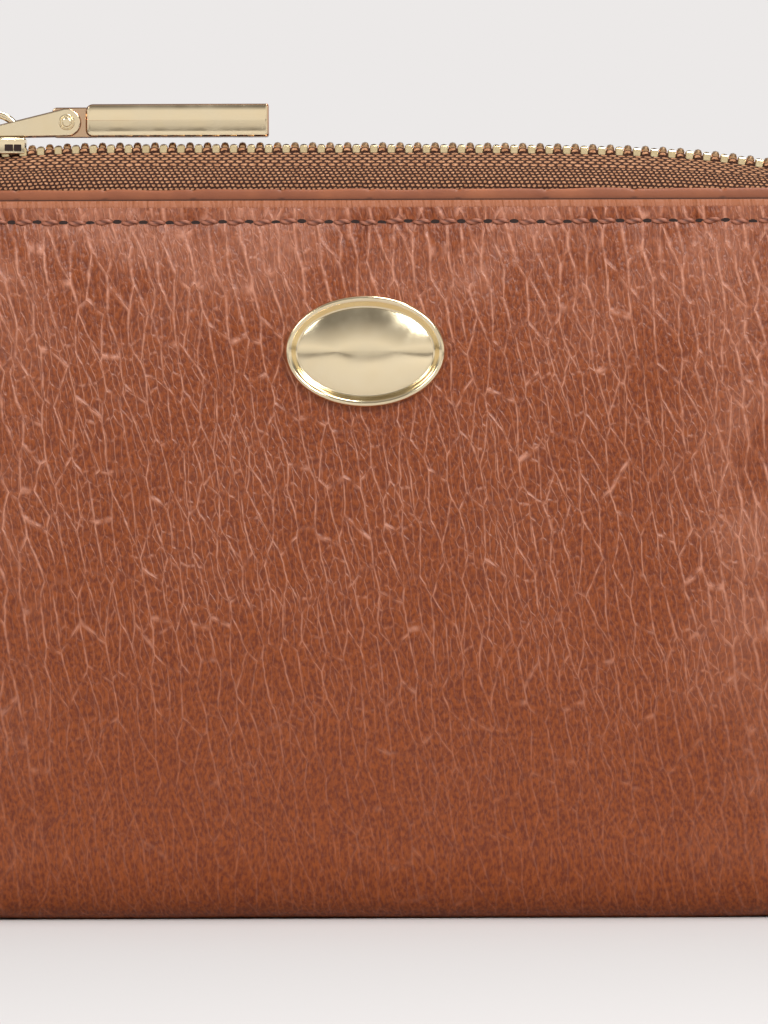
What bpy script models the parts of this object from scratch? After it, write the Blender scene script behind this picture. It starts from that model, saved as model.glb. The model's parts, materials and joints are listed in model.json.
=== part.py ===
"""A small leather wallet with a metal zip along its top and right-hand edges.

The wallet stands on its folded bottom. +X runs to the right, -Y is the front,
+Z is up, and the origin is the middle of the flat strip it stands on. Two
covers are joined by the folded bottom, a pleated gusset closes the left side,
and a zip closes the top and the right side.
"""

import math

import bmesh
import bpy
import numpy as np
from mathutils import Matrix, Vector

MM = 0.001

# Overall sizes.
WIDTH = 115.0 * MM
HEIGHT = 89.6 * MM
DEPTH = 22.0 * MM
FOLD_RADIUS = 5.5 * MM
ZIP_CORNER = 7.0 * MM
CLOSED_CORNER = 2.5 * MM

# Layers of one cover, from the outside in, and the space left between touching solids.
LEATHER = 1.0 * MM
BOARD = 0.6 * MM
FACING = 0.7 * MM
LINING = 0.4 * MM
TAPE = 0.5 * MM
GAP = 0.3 * MM
CLOSE_GAP = 0.12 * MM

# Borders inside the cover's outline.
FACING_PROUD = 1.3 * MM
FACING_BAND = 9.0 * MM
BOARD_INSET = 2.2 * MM
SEAM_INSET = 2.7 * MM
THREAD_RADIUS = 0.25 * MM

# The pockets.
POCKET_SHEET = 0.35 * MM
CARD_SLOTS = 3
CARD_STEP = 11.0 * MM
CARD_FROM_TOP = 19.6 * MM
CARD_WIDTH = 88.0 * MM
COIN_WALL = 0.5 * MM
COIN_DEPTH = 3.0 * MM
COIN_FORWARD = 0.6 * MM
COIN_FROM_TOP = 11.6 * MM
GUSSET_SHEET = 0.6 * MM
GUSSET_REACH = 11.0 * MM
GUSSET_TOP_DROP = 5.0 * MM

# The zip: a number 3 metal chain.
PITCH = 2.2 * MM
TOOTH_LENGTH = 0.9 * MM
TOOTH_THICKNESS = 1.6 * MM
BEAD_OUTER = 2.6 * MM
BEAD_INNER = 1.3 * MM
TOOTH_REACH = 0.45 * MM
TAPE_SEAM = 5.0 * MM
TAPE_START = 0.6 * MM
CHAIN_RISE = 6.6 * MM
CORNER_RISE = 3.9 * MM
CORNER_EASE = 12.5 * MM
END_RISE = 1.0 * MM
END_EASE = 2.6 * MM
SLIDER_DIP = 0.5 * MM
SLIDER_DIP_REACH = 8.0 * MM
TEETH_FROM_LEFT = 7.6 * MM
TEETH_FROM_FOOT = 9.0 * MM
STOP_LENGTH = 1.3 * MM

# The slider and its puller.
SLIDER_FROM_LEFT = 10.1 * MM
SLIDER_LENGTH = 10.0 * MM
SLIDER_WIDTH = 8.2 * MM
SLIDER_NOSE_WIDTH = 7.0 * MM
SLIDER_PLATE = 1.1 * MM
SLIDER_FLANGE = 0.8 * MM
SLIDER_FLOOR_WIDTH = 5.2 * MM
SLIDER_FLOOR = 0.8 * MM
SLIDER_POST_LENGTH = 1.6 * MM
SLIDER_POST_WIDTH = 1.5 * MM
CHANNEL_CLEARANCE = 0.3 * MM
BRIDGE_SPAN = 7.6 * MM
BRIDGE_HEIGHT = 3.3 * MM
BRIDGE_STRAP = 0.9 * MM
BRIDGE_WIDTH = 1.6 * MM
LINK_PIN_RADIUS = 0.5 * MM
LINK_LENGTH = 8.7 * MM
LINK_CHEEK = 0.7 * MM
LINK_EYE = 1.75 * MM
LINK_NECK = 0.75 * MM
RIVET_RADIUS = 0.65 * MM
RIVET_HEAD = 1.0 * MM
RIVET_HEAD_THICKNESS = 0.2 * MM
BAR_LENGTH = 23.0 * MM
BAR_HEIGHT = 4.0 * MM
BAR_TONGUE = 4.0 * MM
BAR_TONGUE_THICKNESS = 1.3 * MM
BAR_OVER_TEETH = 1.0 * MM

# The badge on the front.
BADGE_WIDTH = 20.0 * MM
BADGE_HEIGHT = 14.0 * MM
BADGE_THICKNESS = 1.6 * MM
BADGE_FROM_TOP = 18.85 * MM
BADGE_POST_SPACING = 10.0 * MM
BADGE_POST_RADIUS = 0.6 * MM
BADGE_HOLE_RADIUS = 0.9 * MM
WASHER_RADIUS = 1.8 * MM
WASHER_THICKNESS = 0.4 * MM

FRONT = -1
BACK = 1

# Depths of the layers, measured from the middle plane outwards.
LEATHER_OUT = DEPTH / 2
LEATHER_IN = LEATHER_OUT - LEATHER
BOARD_OUT = LEATHER_IN - GAP
BOARD_IN = BOARD_OUT - BOARD
FACING_OUT = BOARD_IN - GAP
FACING_IN = FACING_OUT - FACING
WASHER_OUT = BOARD_IN - GAP
WASHER_IN = WASHER_OUT - WASHER_THICKNESS
LINING_OUT = min(FACING_IN, WASHER_IN - GAP)
LINING_IN = LINING_OUT - LINING
TAPE_OUT = FACING_IN - GAP
TAPE_MIDDLE = TAPE_OUT - TAPE / 2
TAPE_IN = TAPE_OUT - TAPE
POCKET_OUT = LINING_IN - GAP

# Heights of the layers of the folded bottom.
BOTTOM_BOARD_LOW = LEATHER + GAP
BOTTOM_BOARD_HIGH = BOTTOM_BOARD_LOW + BOARD
BOTTOM_LINING_LOW = BOTTOM_BOARD_HIGH + GAP
BOTTOM_LINING_HIGH = BOTTOM_LINING_LOW + LINING
COVER_FOOT = FOLD_RADIUS + GAP

# Lengths along the zipped edge, which runs from the left end round to the foot.
EDGE_TOP = WIDTH - ZIP_CORNER
EDGE_CORNER = ZIP_CORNER * math.pi / 2
EDGE_SIDE = HEIGHT - ZIP_CORNER - COVER_FOOT
EDGE_LENGTH = EDGE_TOP + EDGE_CORNER + EDGE_SIDE


def clear_scene():
    """Removes every object of the open scene."""
    for obj in list(bpy.data.objects):
        bpy.data.objects.remove(obj)


def make_material(name, rgb, roughness, metallic=0.0):
    """A Principled material of one colour."""
    material = bpy.data.materials.new(name)
    material.use_nodes = True
    shader = material.node_tree.nodes["Principled BSDF"]
    shader.inputs["Base Color"].default_value = (*rgb, 1.0)
    shader.inputs["Roughness"].default_value = roughness
    shader.inputs["Metallic"].default_value = metallic
    return material


def add_object(name, data, material, collection):
    """Links new object data under a name and gives it its material."""
    obj = bpy.data.objects.new(name, data)
    collection.objects.link(obj)
    if material is not None:
        data.materials.append(material)
    return obj


def arc(centre, radius, start, end, steps):
    """Points on an arc from one angle to another, both in degrees."""
    angles = [math.radians(start + (end - start) * i / steps) for i in range(steps + 1)]
    return [(centre[0] + radius * math.cos(a), centre[1] + radius * math.sin(a)) for a in angles]


def circle(centre, radius, steps=16):
    """A closed round outline."""
    return arc(centre, radius, 0, 360, steps)[:-1]


def flat_curve(name, outlines, thickness, material, collection):
    """A flat piece in its own XY plane: a filled 2D curve whose inner outlines are holes."""
    curve = bpy.data.curves.new(name, "CURVE")
    curve.dimensions = "2D"
    curve.fill_mode = "BOTH"
    curve.extrude = thickness / 2
    for outline in outlines:
        spline = curve.splines.new("POLY")
        spline.points.add(len(outline) - 1)
        for point, (u, v) in zip(spline.points, outline):
            point.co = (u, v, 0.0, 1.0)
        spline.use_cyclic_u = True
    return add_object(name, curve, material, collection)


def upright_sheet(name, outlines, y_low, y_high, material, collection):
    """A flat piece parallel to the covers, from (x, z) outlines, between two depths."""
    sheet = flat_curve(name, outlines, y_high - y_low, material, collection)
    sheet.rotation_euler = (math.pi / 2, 0.0, 0.0)
    sheet.location = (0.0, (y_low + y_high) / 2, 0.0)
    return sheet


def level_sheet(name, outlines, z_low, z_high, material, collection):
    """A flat piece that lies level, from (x, y) outlines, between two heights."""
    sheet = flat_curve(name, outlines, z_high - z_low, material, collection)
    sheet.location = (0.0, 0.0, (z_low + z_high) / 2)
    return sheet


def between(side, inner, outer):
    """The lower and higher y of a layer, for the front (-1) or the back (+1)."""
    return sorted((side * inner, side * outer))


def bent_sheet(name, profile, place, span, thickness, material, collection):
    """A sheet bent along a profile and swept straight, its thickness half to each side.

    place turns a profile point and a distance along the sweep into a position.
    """
    mesh = bmesh.new()
    rows = [[mesh.verts.new(place(point, end)) for point in profile] for end in span]
    for i in range(len(profile) - 1):
        mesh.faces.new((rows[0][i], rows[0][i + 1], rows[1][i + 1], rows[1][i]))
    data = bpy.data.meshes.new(name)
    mesh.to_mesh(data)
    mesh.free()
    obj = add_object(name, data, material, collection)
    solidify = obj.modifiers.new("thickness", "SOLIDIFY")
    solidify.thickness = thickness
    solidify.offset = 0.0
    solidify.use_even_offset = True
    return obj


def loft(name, rings, material, collection):
    """A closed solid through rings of equal point count, capped at both ends."""
    count = len(rings[0])
    points = [point for ring in rings for point in ring]
    faces = []
    for k in range(len(rings) - 1):
        for i in range(count):
            j = (i + 1) % count
            low, high = k * count, (k + 1) * count
            faces.append((low + i, low + j, high + j, high + i))
    faces.append(tuple(reversed(range(count))))
    faces.append(tuple(range((len(rings) - 1) * count, len(rings) * count)))
    return solid_from_faces(name, points, faces, material, collection)


def solid_from_faces(name, points, faces, material, collection):
    """A mesh object whose faces are turned to point outwards."""
    data = bpy.data.meshes.new(name)
    data.from_pydata([tuple(p) for p in points], [], faces)
    mesh = bmesh.new()
    mesh.from_mesh(data)
    bmesh.ops.recalc_face_normals(mesh, faces=mesh.faces)
    mesh.to_mesh(data)
    mesh.free()
    return add_object(name, data, material, collection)


def box_mesh(name, low, high, material, collection):
    """A box between two corners, from Blender's cube."""
    mesh = bmesh.new()
    bmesh.ops.create_cube(mesh, size=1.0)
    size = Vector(high) - Vector(low)
    bmesh.ops.scale(mesh, vec=size, verts=mesh.verts)
    bmesh.ops.translate(mesh, vec=(Vector(high) + Vector(low)) / 2, verts=mesh.verts)
    data = bpy.data.meshes.new(name)
    mesh.to_mesh(data)
    mesh.free()
    return add_object(name, data, material, collection)


def pin_along_y(name, centre, radius, y_low, y_high, material, collection, segments=16):
    """A round pin that runs across the wallet, front to back."""
    mesh = bmesh.new()
    bmesh.ops.create_cone(
        mesh,
        cap_ends=True,
        segments=segments,
        radius1=radius,
        radius2=radius,
        depth=y_high - y_low,
        matrix=Matrix.Rotation(math.pi / 2, 4, "X"),
    )
    bmesh.ops.translate(mesh, vec=(centre[0], (y_low + y_high) / 2, centre[1]), verts=mesh.verts)
    data = bpy.data.meshes.new(name)
    mesh.to_mesh(data)
    mesh.free()
    return add_object(name, data, material, collection)


def as_mesh(obj):
    """Turns a curve object into a welded mesh object, so that it can be cut or joined."""
    graph = bpy.context.evaluated_depsgraph_get()
    bpy.context.view_layer.update()
    data = bpy.data.meshes.new_from_object(obj.evaluated_get(graph))
    mesh = bmesh.new()
    mesh.from_mesh(data)
    bmesh.ops.remove_doubles(mesh, verts=mesh.verts, dist=0.001 * MM)
    mesh.to_mesh(data)
    mesh.free()
    name, collection = obj.name, obj.users_collection[0]
    matrix = obj.matrix_world.copy()
    bpy.data.objects.remove(obj)
    made = bpy.data.objects.new(name, data)
    collection.objects.link(made)
    made.matrix_world = matrix
    return made


def combine(obj, other, operation, helpers):
    """Joins another object to this one, or cuts it away, and hides it as a helper."""
    modifier = obj.modifiers.new(operation.lower(), "BOOLEAN")
    modifier.operation = operation
    modifier.object = other
    modifier.solver = "EXACT"
    for collection in list(other.users_collection):
        collection.objects.unlink(other)
    helpers.objects.link(other)
    other.hide_render = True
    other.display_type = "WIRE"


def edge_at(s):
    """The cover's zipped edge at a distance from its left end: x, z and the outward direction."""
    if s <= EDGE_TOP:
        return -WIDTH / 2 + s, HEIGHT, 0.0, 1.0
    if s <= EDGE_TOP + EDGE_CORNER:
        a = (s - EDGE_TOP) / ZIP_CORNER
        x = WIDTH / 2 - ZIP_CORNER + ZIP_CORNER * math.sin(a)
        z = HEIGHT - ZIP_CORNER + ZIP_CORNER * math.cos(a)
        return x, z, math.sin(a), math.cos(a)
    return WIDTH / 2, HEIGHT - ZIP_CORNER - (s - EDGE_TOP - EDGE_CORNER), 1.0, 0.0


def chain_rise(s):
    """How far the chain stands outside the cover's edge.

    It bows up along the straight edges, cuts the corner, drops away at both ends
    and is drawn down a little where the slider holds it.
    """
    from_corner = abs(s - EDGE_TOP - EDGE_CORNER / 2)
    share = from_corner**2 / (from_corner**2 + CORNER_EASE**2)
    rise = CORNER_RISE + (CHAIN_RISE - CORNER_RISE) * share
    rise -= SLIDER_DIP * math.exp(-(((s - SLIDER_FROM_LEFT) / SLIDER_DIP_REACH) ** 2))
    for from_end in (s, EDGE_LENGTH - s):
        kept = from_end**4 / (from_end**4 + END_EASE**4)
        rise = END_RISE + (rise - END_RISE) * kept
    return rise


def chain_line(samples=600):
    """The chain's middle line as arrays: edge distance, length along the chain, x and z."""
    edge = np.linspace(0.0, EDGE_LENGTH, samples)
    points = []
    for s in edge:
        x, z, out_x, out_z = edge_at(s)
        rise = chain_rise(s)
        points.append((x + out_x * rise, z + out_z * rise))
    x, z = np.array(points).T
    along = np.concatenate([[0.0], np.cumsum(np.hypot(np.diff(x), np.diff(z)))])
    return edge, along, x, z


def chain_frame(line, distance):
    """A point on the chain's middle line, its direction and its outward direction."""
    _, along, x, z = line
    step = 0.2 * MM
    here, ahead, behind = (
        Vector((np.interp(d, along, x), 0.0, np.interp(d, along, z)))
        for d in (distance, distance + step, distance - step)
    )
    direction = (ahead - behind).normalized()
    outward = Vector((-direction.z, 0.0, direction.x))
    return here, direction, outward


def cover_outline(grow, foot):
    """The cover's outline, grown outwards on the zipped edges and cut at a height."""
    left = -WIDTH / 2
    right = WIDTH / 2 + grow
    top = HEIGHT + grow
    corner = ZIP_CORNER + grow
    outline = [(left, foot), (right, foot)]
    outline += arc((right - corner, top - corner), corner, 0, 90, 8)
    outline += arc((left + CLOSED_CORNER, top - CLOSED_CORNER), CLOSED_CORNER, 90, 180, 4)
    return outline


def inset_outline(inset, foot):
    """The cover's outline drawn in on all sides but the foot."""
    left = -WIDTH / 2 + inset
    right = WIDTH / 2 - inset
    top = HEIGHT - inset
    corner = ZIP_CORNER - inset
    outline = [(left, foot), (right, foot)]
    outline += arc((right - corner, top - corner), corner, 0, 90, 6)
    outline.append((left, top))
    return outline


def facing_outline():
    """An L-shaped band along the zipped edges, proud of the leather's edge."""
    outer = cover_outline(FACING_PROUD, COVER_FOOT)
    inner_x = WIDTH / 2 - FACING_BAND
    inner_z = HEIGHT - FACING_BAND
    return outer[1:] + [(-WIDTH / 2, inner_z), (inner_x, inner_z), (inner_x, COVER_FOOT)]


def badge_place():
    """The badge's centre in x and z, and the x of its two posts."""
    half = BADGE_POST_SPACING / 2
    return (0.0, HEIGHT - BADGE_FROM_TOP), (-half, half)


def badge_holes():
    """The two round holes that the badge's posts pass through."""
    (_, z), posts = badge_place()
    return [circle((x, z), BADGE_HOLE_RADIUS, 12) for x in posts]


def build_cover(side, name, materials, parts):
    """The flat layers of one cover: leather, board, facing, lining and seam thread."""
    holes = badge_holes() if side == FRONT else []
    leather = [cover_outline(0.0, COVER_FOOT)] + holes
    upright_sheet(f"{name}_leather", leather, *between(side, LEATHER_IN, LEATHER_OUT), materials["leather"], parts)
    board = [inset_outline(BOARD_INSET, COVER_FOOT + BOARD_INSET)] + holes
    upright_sheet(f"{name}_board", board, *between(side, BOARD_IN, BOARD_OUT), materials["board"], parts)
    facing = [facing_outline()]
    upright_sheet(f"{name}_facing", facing, *between(side, FACING_IN, FACING_OUT), materials["facing"], parts)
    lining_right = WIDTH / 2 - FACING_BAND - GAP
    lining_top = HEIGHT - FACING_BAND - GAP
    lining_left = -WIDTH / 2 + CLOSED_CORNER
    lining = [
        (lining_left, COVER_FOOT),
        (lining_right, COVER_FOOT),
        (lining_right, lining_top),
        (lining_left, lining_top),
    ]
    upright_sheet(f"{name}_lining", [lining], *between(side, LINING_IN, LINING_OUT), materials["lining"], parts)
    build_thread(side, f"{name}_seam_thread", materials, parts)


def build_thread(side, name, materials, parts):
    """The sewing thread that lies on the leather along its open edges."""
    depth = LEATHER_OUT + CLOSE_GAP + THREAD_RADIUS
    path = inset_outline(SEAM_INSET, COVER_FOOT + SEAM_INSET)
    run = path[1:] + [path[0]]
    curve = bpy.data.curves.new(name, "CURVE")
    curve.dimensions = "3D"
    curve.bevel_depth = THREAD_RADIUS
    curve.bevel_resolution = 1
    curve.use_fill_caps = True
    spline = curve.splines.new("POLY")
    spline.points.add(len(run) - 1)
    for point, (x, z) in zip(spline.points, run):
        point.co = (x, side * depth, z, 1.0)
    add_object(name, curve, materials["thread"], parts)


def build_bottom(materials, parts):
    """The folded bottom: leather, stiffening strip and lining, bent under the covers."""

    def place(point, x):
        return x, point[0], point[1]

    def fold(radius, low):
        centre = DEPTH / 2 - FOLD_RADIUS
        arm = arc((-centre, FOLD_RADIUS), radius, 180, 270, 6)
        other = arc((centre, FOLD_RADIUS), radius, 270, 360, 6)
        return [(y, max(z, low)) for y, z in arm + other]

    ends = (-WIDTH / 2, WIDTH / 2)
    leather = fold(FOLD_RADIUS - LEATHER / 2, LEATHER / 2)
    bent_sheet("bottom_leather", leather, place, ends, LEATHER, materials["leather"], parts)
    half = DEPTH / 2 - FOLD_RADIUS
    inset = WIDTH / 2 - BOARD_INSET
    strip = [(-inset, -half), (inset, -half), (inset, half), (-inset, half)]
    level_sheet("bottom_board", [strip], BOTTOM_BOARD_LOW, BOTTOM_BOARD_HIGH, materials["board"], parts)
    lining = fold(FOLD_RADIUS - BOTTOM_LINING_LOW - LINING / 2, BOTTOM_LINING_LOW + LINING / 2)
    bent_sheet("bottom_lining", lining, place, (-inset, inset), LINING, materials["lining"], parts)


def build_gusset(materials, parts):
    """The pleated gusset that closes the left side, folded inwards twice."""
    edge = LINING_IN - GAP - GUSSET_SHEET
    outer = -WIDTH / 2 + GUSSET_SHEET
    inner = outer + GUSSET_REACH
    pleats = [(outer, -edge), (inner, -edge / 2), (outer, 0.0), (inner, edge / 2), (outer, edge)]

    def place(point, z):
        return point[0], point[1], z

    span = (COVER_FOOT + GAP, HEIGHT - GUSSET_TOP_DROP)
    bent_sheet("left_gusset", pleats, place, span, GUSSET_SHEET, materials["leather"], parts)


def build_pockets(materials, parts):
    """Stepped card slots on the back lining, a slip pocket in front, a coin pocket between."""
    foot = COVER_FOOT + GAP
    right = min(CARD_WIDTH / 2, WIDTH / 2 - FACING_BAND - GAP)
    for k in range(CARD_SLOTS):
        outer = POCKET_OUT - k * (POCKET_SHEET + GAP)
        top = HEIGHT - CARD_FROM_TOP - k * CARD_STEP
        outline = [(-right, foot), (right, foot), (right, top), (-right, top)]
        upright_sheet(
            f"card_slot_{k + 1}", [outline], outer - POCKET_SHEET, outer, materials["lining_leather"], parts
        )
    top = HEIGHT - CARD_FROM_TOP - CARD_STEP / 2
    slip = [(-right, foot), (right, foot), (right, top), (-right, top)]
    y_low, y_high = between(FRONT, POCKET_OUT - POCKET_SHEET, POCKET_OUT)
    upright_sheet("front_slip_pocket", [slip], y_low, y_high, materials["lining_leather"], parts)

    middle = (COIN_DEPTH - COIN_WALL) / 2
    low = BOTTOM_LINING_HIGH + GAP + COIN_WALL / 2
    top = HEIGHT - COIN_FROM_TOP
    walls = [(-COIN_FORWARD - middle, top)]
    walls += arc((-COIN_FORWARD, low + middle), middle, 180, 360, 6)
    walls.append((middle - COIN_FORWARD, top))

    def place(point, x):
        return x, point[0], point[1]

    bent_sheet("coin_pocket", walls, place, (-right, right), COIN_WALL, materials["lining_leather"], parts)


def tape_stations():
    """Edge distances at which the zip tape's section is drawn, closer at ends and corner."""
    corner = [EDGE_TOP + EDGE_CORNER * i / 6 for i in range(7)]
    ends = [0.0, 0.4 * END_EASE, 0.8 * END_EASE, 1.2 * END_EASE, 1.8 * END_EASE, 3.0 * END_EASE]
    feet = [EDGE_LENGTH - s for s in reversed(ends)]
    top = np.linspace(ends[-1], corner[0], 12)[1:-1]
    side = np.linspace(corner[-1], feet[0], 8)[1:-1]
    return [*ends, *top, *corner, *side, *feet]


def tape_profile(rise):
    """The tape's middle line across its width, as (depth from the middle, height over the edge).

    A straight seam allowance lies inside the cover, then a curve leans over to the chain.
    """
    inner = BEAD_OUTER + GAP
    end_height = rise - TOOTH_THICKNESS / 4
    lift = end_height - TAPE_START
    start = Vector((TAPE_MIDDLE, TAPE_START))
    leave = Vector((TAPE_MIDDLE, TAPE_START + 0.45 * lift))
    arrive = Vector((inner + 0.4 * (TAPE_MIDDLE - inner), end_height - 0.17 * lift))
    end = Vector((inner, end_height))
    line = [Vector((TAPE_MIDDLE, -TAPE_SEAM))]
    for i in range(6):
        t = i / 5
        weights = ((1 - t) ** 3, 3 * t * (1 - t) ** 2, 3 * t**2 * (1 - t), t**3)
        line.append(sum((w * p for w, p in zip(weights, (start, leave, arrive, end))), Vector((0, 0))))
    return line


def build_tape(side, name, materials, parts):
    """One side's zip tape, from the seam inside the cover to the chain."""
    rings = []
    for s in tape_stations():
        x, z, out_x, out_z = edge_at(s)
        line = tape_profile(chain_rise(s))
        near, far = [], []
        for i, point in enumerate(line):
            before, after = line[max(i - 1, 0)], line[min(i + 1, len(line) - 1)]
            along = (after - before).normalized()
            across = Vector((along.y, -along.x)) * TAPE / 2
            near.append(point + across)
            far.append(point - across)
        ring = near + far[::-1]
        rings.append([(x + out_x * p.y, side * p.x, z + out_z * p.y) for p in ring])
    loft(name, rings, materials["tape"], parts)


def build_teeth(side, name, line, shift, materials, parts):
    """One side's row of teeth on its bead: a comb that follows the chain.

    shift moves this row along the chain by a share of the pitch, so that the two
    rows mesh.
    """
    edge, along, _, _ = line
    first = np.interp(TEETH_FROM_LEFT, edge, along)
    last = np.interp(EDGE_LENGTH - TEETH_FROM_FOOT, edge, along)
    count = int((last - first) / PITCH)
    half = TOOTH_THICKNESS / 2
    depths = (side * BEAD_OUTER, side * BEAD_INNER, -side * TOOTH_REACH)
    points, faces = [], []
    for k in range(count):
        start = first + (k + shift) * PITCH
        for distance in (start, start + TOOTH_LENGTH):
            centre, _, outward = chain_frame(line, distance)
            for height in (-half, half):
                for y in depths:
                    points.append(centre + outward * height + Vector((0.0, y, 0.0)))
    for k in range(2 * count - 1):
        here, there = 6 * k, 6 * (k + 1)
        is_tooth = k % 2 == 0
        columns = (0, 1) if is_tooth else (0,)
        for column in columns:
            for row in (0, 3):
                a = row + column
                faces.append((here + a, here + a + 1, there + a + 1, there + a))
        faces.append((here, here + 3, there + 3, there))
        tip = 2 if is_tooth else 1
        faces.append((here + tip, here + tip + 3, there + tip + 3, there + tip))
        if is_tooth:
            for end in (here, there):
                faces.append((end + 1, end + 2, end + 5, end + 4))
    last_ring = 6 * (2 * count - 1)
    for end in (0, last_ring):
        faces.append((end, end + 1, end + 4, end + 3))
    solid_from_faces(name, points, faces, materials["brass"], parts)


def build_stops(line, materials, parts):
    """A top stop on each tape past the slider, and one bottom stop across the foot."""
    edge, along, _, _ = line
    slider_end = SLIDER_FROM_LEFT - SLIDER_LENGTH / 2
    middle = np.interp(slider_end - CLOSE_GAP, edge, along) - STOP_LENGTH / 2 - CLOSE_GAP
    for side, name in ((FRONT, "top_stop_front"), (BACK, "top_stop_back")):
        inner, outer = BEAD_INNER, BEAD_OUTER
        chain_block(name, line, middle, STOP_LENGTH, (side * inner, side * outer), materials, parts)
    foot = np.interp(EDGE_LENGTH - TEETH_FROM_FOOT, edge, along) + PITCH + STOP_LENGTH
    chain_block("bottom_stop", line, foot, STOP_LENGTH, (-BEAD_OUTER, BEAD_OUTER), materials, parts)


def chain_block(name, line, middle, length, depths, materials, parts):
    """A block that sits square on the chain's line."""
    half = TOOTH_THICKNESS / 2
    rings = []
    for distance in (middle - length / 2, middle + length / 2):
        centre, _, outward = chain_frame(line, distance)
        corners = ((depths[0], -half), (depths[1], -half), (depths[1], half), (depths[0], half))
        rings.append([centre + outward * h + Vector((0.0, y, 0.0)) for y, h in corners])
    loft(name, rings, materials["brass"], parts)


def slider_middle(line):
    """The slider's middle on the chain, taken as level."""
    edge, _, x, z = line
    return np.interp(SLIDER_FROM_LEFT, edge, x), np.interp(SLIDER_FROM_LEFT, edge, z)


def slider_heights(z):
    """The floor's two faces, the flange's lower edge and the top plate's two faces."""
    reach = TOOTH_THICKNESS / 2 + CHANNEL_CLEARANCE
    floor_top = z - reach
    plate_low = z + reach
    flange_low = z - TOOTH_THICKNESS / 4 + TAPE / 2 + GAP
    return floor_top - SLIDER_FLOOR, floor_top, flange_low, plate_low, plate_low + SLIDER_PLATE


def build_slider(line, materials, parts, helpers):
    """The slider: a flanged top plate and a floor, joined by a post at the mouth."""
    x, z = slider_middle(line)
    floor_low, floor_top, flange_low, plate_low, plate_top = slider_heights(z)
    mouth, nose = x - SLIDER_LENGTH / 2, x + SLIDER_LENGTH / 2
    wide, narrow = SLIDER_WIDTH / 2, SLIDER_NOSE_WIDTH / 2
    shoulder = x + SLIDER_LENGTH / 5
    cut = SLIDER_LENGTH / 8

    def plan(half_wide, half_narrow):
        one = [(mouth, -half_wide + cut), (mouth + cut, -half_wide), (shoulder, -half_wide)]
        one += [(nose - cut, -half_narrow), (nose, -half_narrow + cut)]
        return one + [(u, -v) for u, v in reversed(one)]

    body = as_mesh(
        level_sheet("slider_body", [plan(wide, narrow)], flange_low, plate_top, materials["gold"], parts)
    )
    body.data.materials.clear()
    body.data.materials.append(materials["gold"])
    inner_wide, inner_narrow = wide - SLIDER_FLANGE, narrow - SLIDER_FLANGE
    past = SLIDER_LENGTH
    channel = [(mouth - past, -inner_wide), (shoulder, -inner_wide), (nose, -inner_narrow), (nose + past, -inner_narrow)]
    channel += [(u, -v) for u, v in reversed(channel)]
    cutter = as_mesh(
        level_sheet("slider_channel", [channel], flange_low - SLIDER_FLOOR, plate_low, None, parts)
    )
    combine(body, cutter, "DIFFERENCE", helpers)
    half_floor = SLIDER_FLOOR_WIDTH / 2
    floor = box_mesh(
        "slider_floor", (mouth, -half_floor, floor_low), (nose - cut, half_floor, floor_top), None, parts
    )
    combine(body, floor, "UNION", helpers)
    half_post = SLIDER_POST_WIDTH / 2
    post = box_mesh(
        "slider_post",
        (mouth + CHANNEL_CLEARANCE, -half_post, floor_low + SLIDER_FLOOR / 2),
        (mouth + CHANNEL_CLEARANCE + SLIDER_POST_LENGTH, half_post, plate_top - SLIDER_PLATE / 2),
        None,
        parts,
    )
    combine(body, post, "UNION", helpers)
    build_bridge(x, plate_top, materials, parts)


def bridge_outline(x, base):
    """The bridge seen from the front: an arched strap with a window under it."""
    half, rise = BRIDGE_SPAN / 2, BRIDGE_HEIGHT
    outer = [(x + half * math.cos(a), base + rise * math.sin(a) ** 0.8) for a in np.linspace(0.0, math.pi, 13)]
    inner_half, inner_rise = half - 1.3 * BRIDGE_STRAP, rise - BRIDGE_STRAP
    inner = [
        (x + inner_half * math.cos(a), base + inner_rise * math.sin(a) ** 0.8)
        for a in np.linspace(math.pi, 0.0, 13)
    ]
    return outer + inner


def build_bridge(x, plate_top, materials, parts):
    """The arched bridge over the top plate, which holds the link's pin."""
    half = BRIDGE_WIDTH / 2
    outline = bridge_outline(x, plate_top + CLOSE_GAP)
    upright_sheet("slider_bridge", [outline], -half, half, materials["gold"], parts)


def link_pivot(line):
    """Where the link's pin turns under the bridge, in x and z."""
    x, z = slider_middle(line)
    plate_top = slider_heights(z)[4]
    reach = BRIDGE_SPAN / 2 - 1.3 * BRIDGE_STRAP
    return x + 0.5 * reach, plate_top + CLOSE_GAP + max(LINK_NECK, LINK_PIN_RADIUS + CLOSE_GAP)


def rivet_pivot(line):
    """Where the bar turns on the link, in x and z."""
    x, z = link_pivot(line)
    return x + LINK_LENGTH, bar_low(line) + BAR_HEIGHT / 2


def bar_low(line):
    """The height of the bar's underside, just clear of the teeth under it."""
    x, _ = link_pivot(line)
    _, _, xs, zs = line
    under = (xs > x) & (xs < x + LINK_LENGTH + BAR_LENGTH)
    return float(zs[under].max()) + TOOTH_THICKNESS / 2 + BAR_OVER_TEETH - CLOSE_GAP


def link_cheek_outline(line):
    """A cheek of the link: a teardrop from the pin's small end to the rivet's round eye."""
    x, z = link_pivot(line)
    eye_x, eye_z = rivet_pivot(line)
    tilt = math.degrees(math.atan2(eye_z - z, eye_x - x))
    lean = math.degrees(math.asin((LINK_EYE - LINK_NECK) / math.hypot(eye_x - x, eye_z - z)))
    outline = arc((eye_x, eye_z), LINK_EYE, tilt - 90 - lean, tilt + 90 + lean, 10)
    outline += arc((x, z), LINK_NECK, tilt + 90 + lean, tilt + 270 - lean, 6)
    return outline


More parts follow.
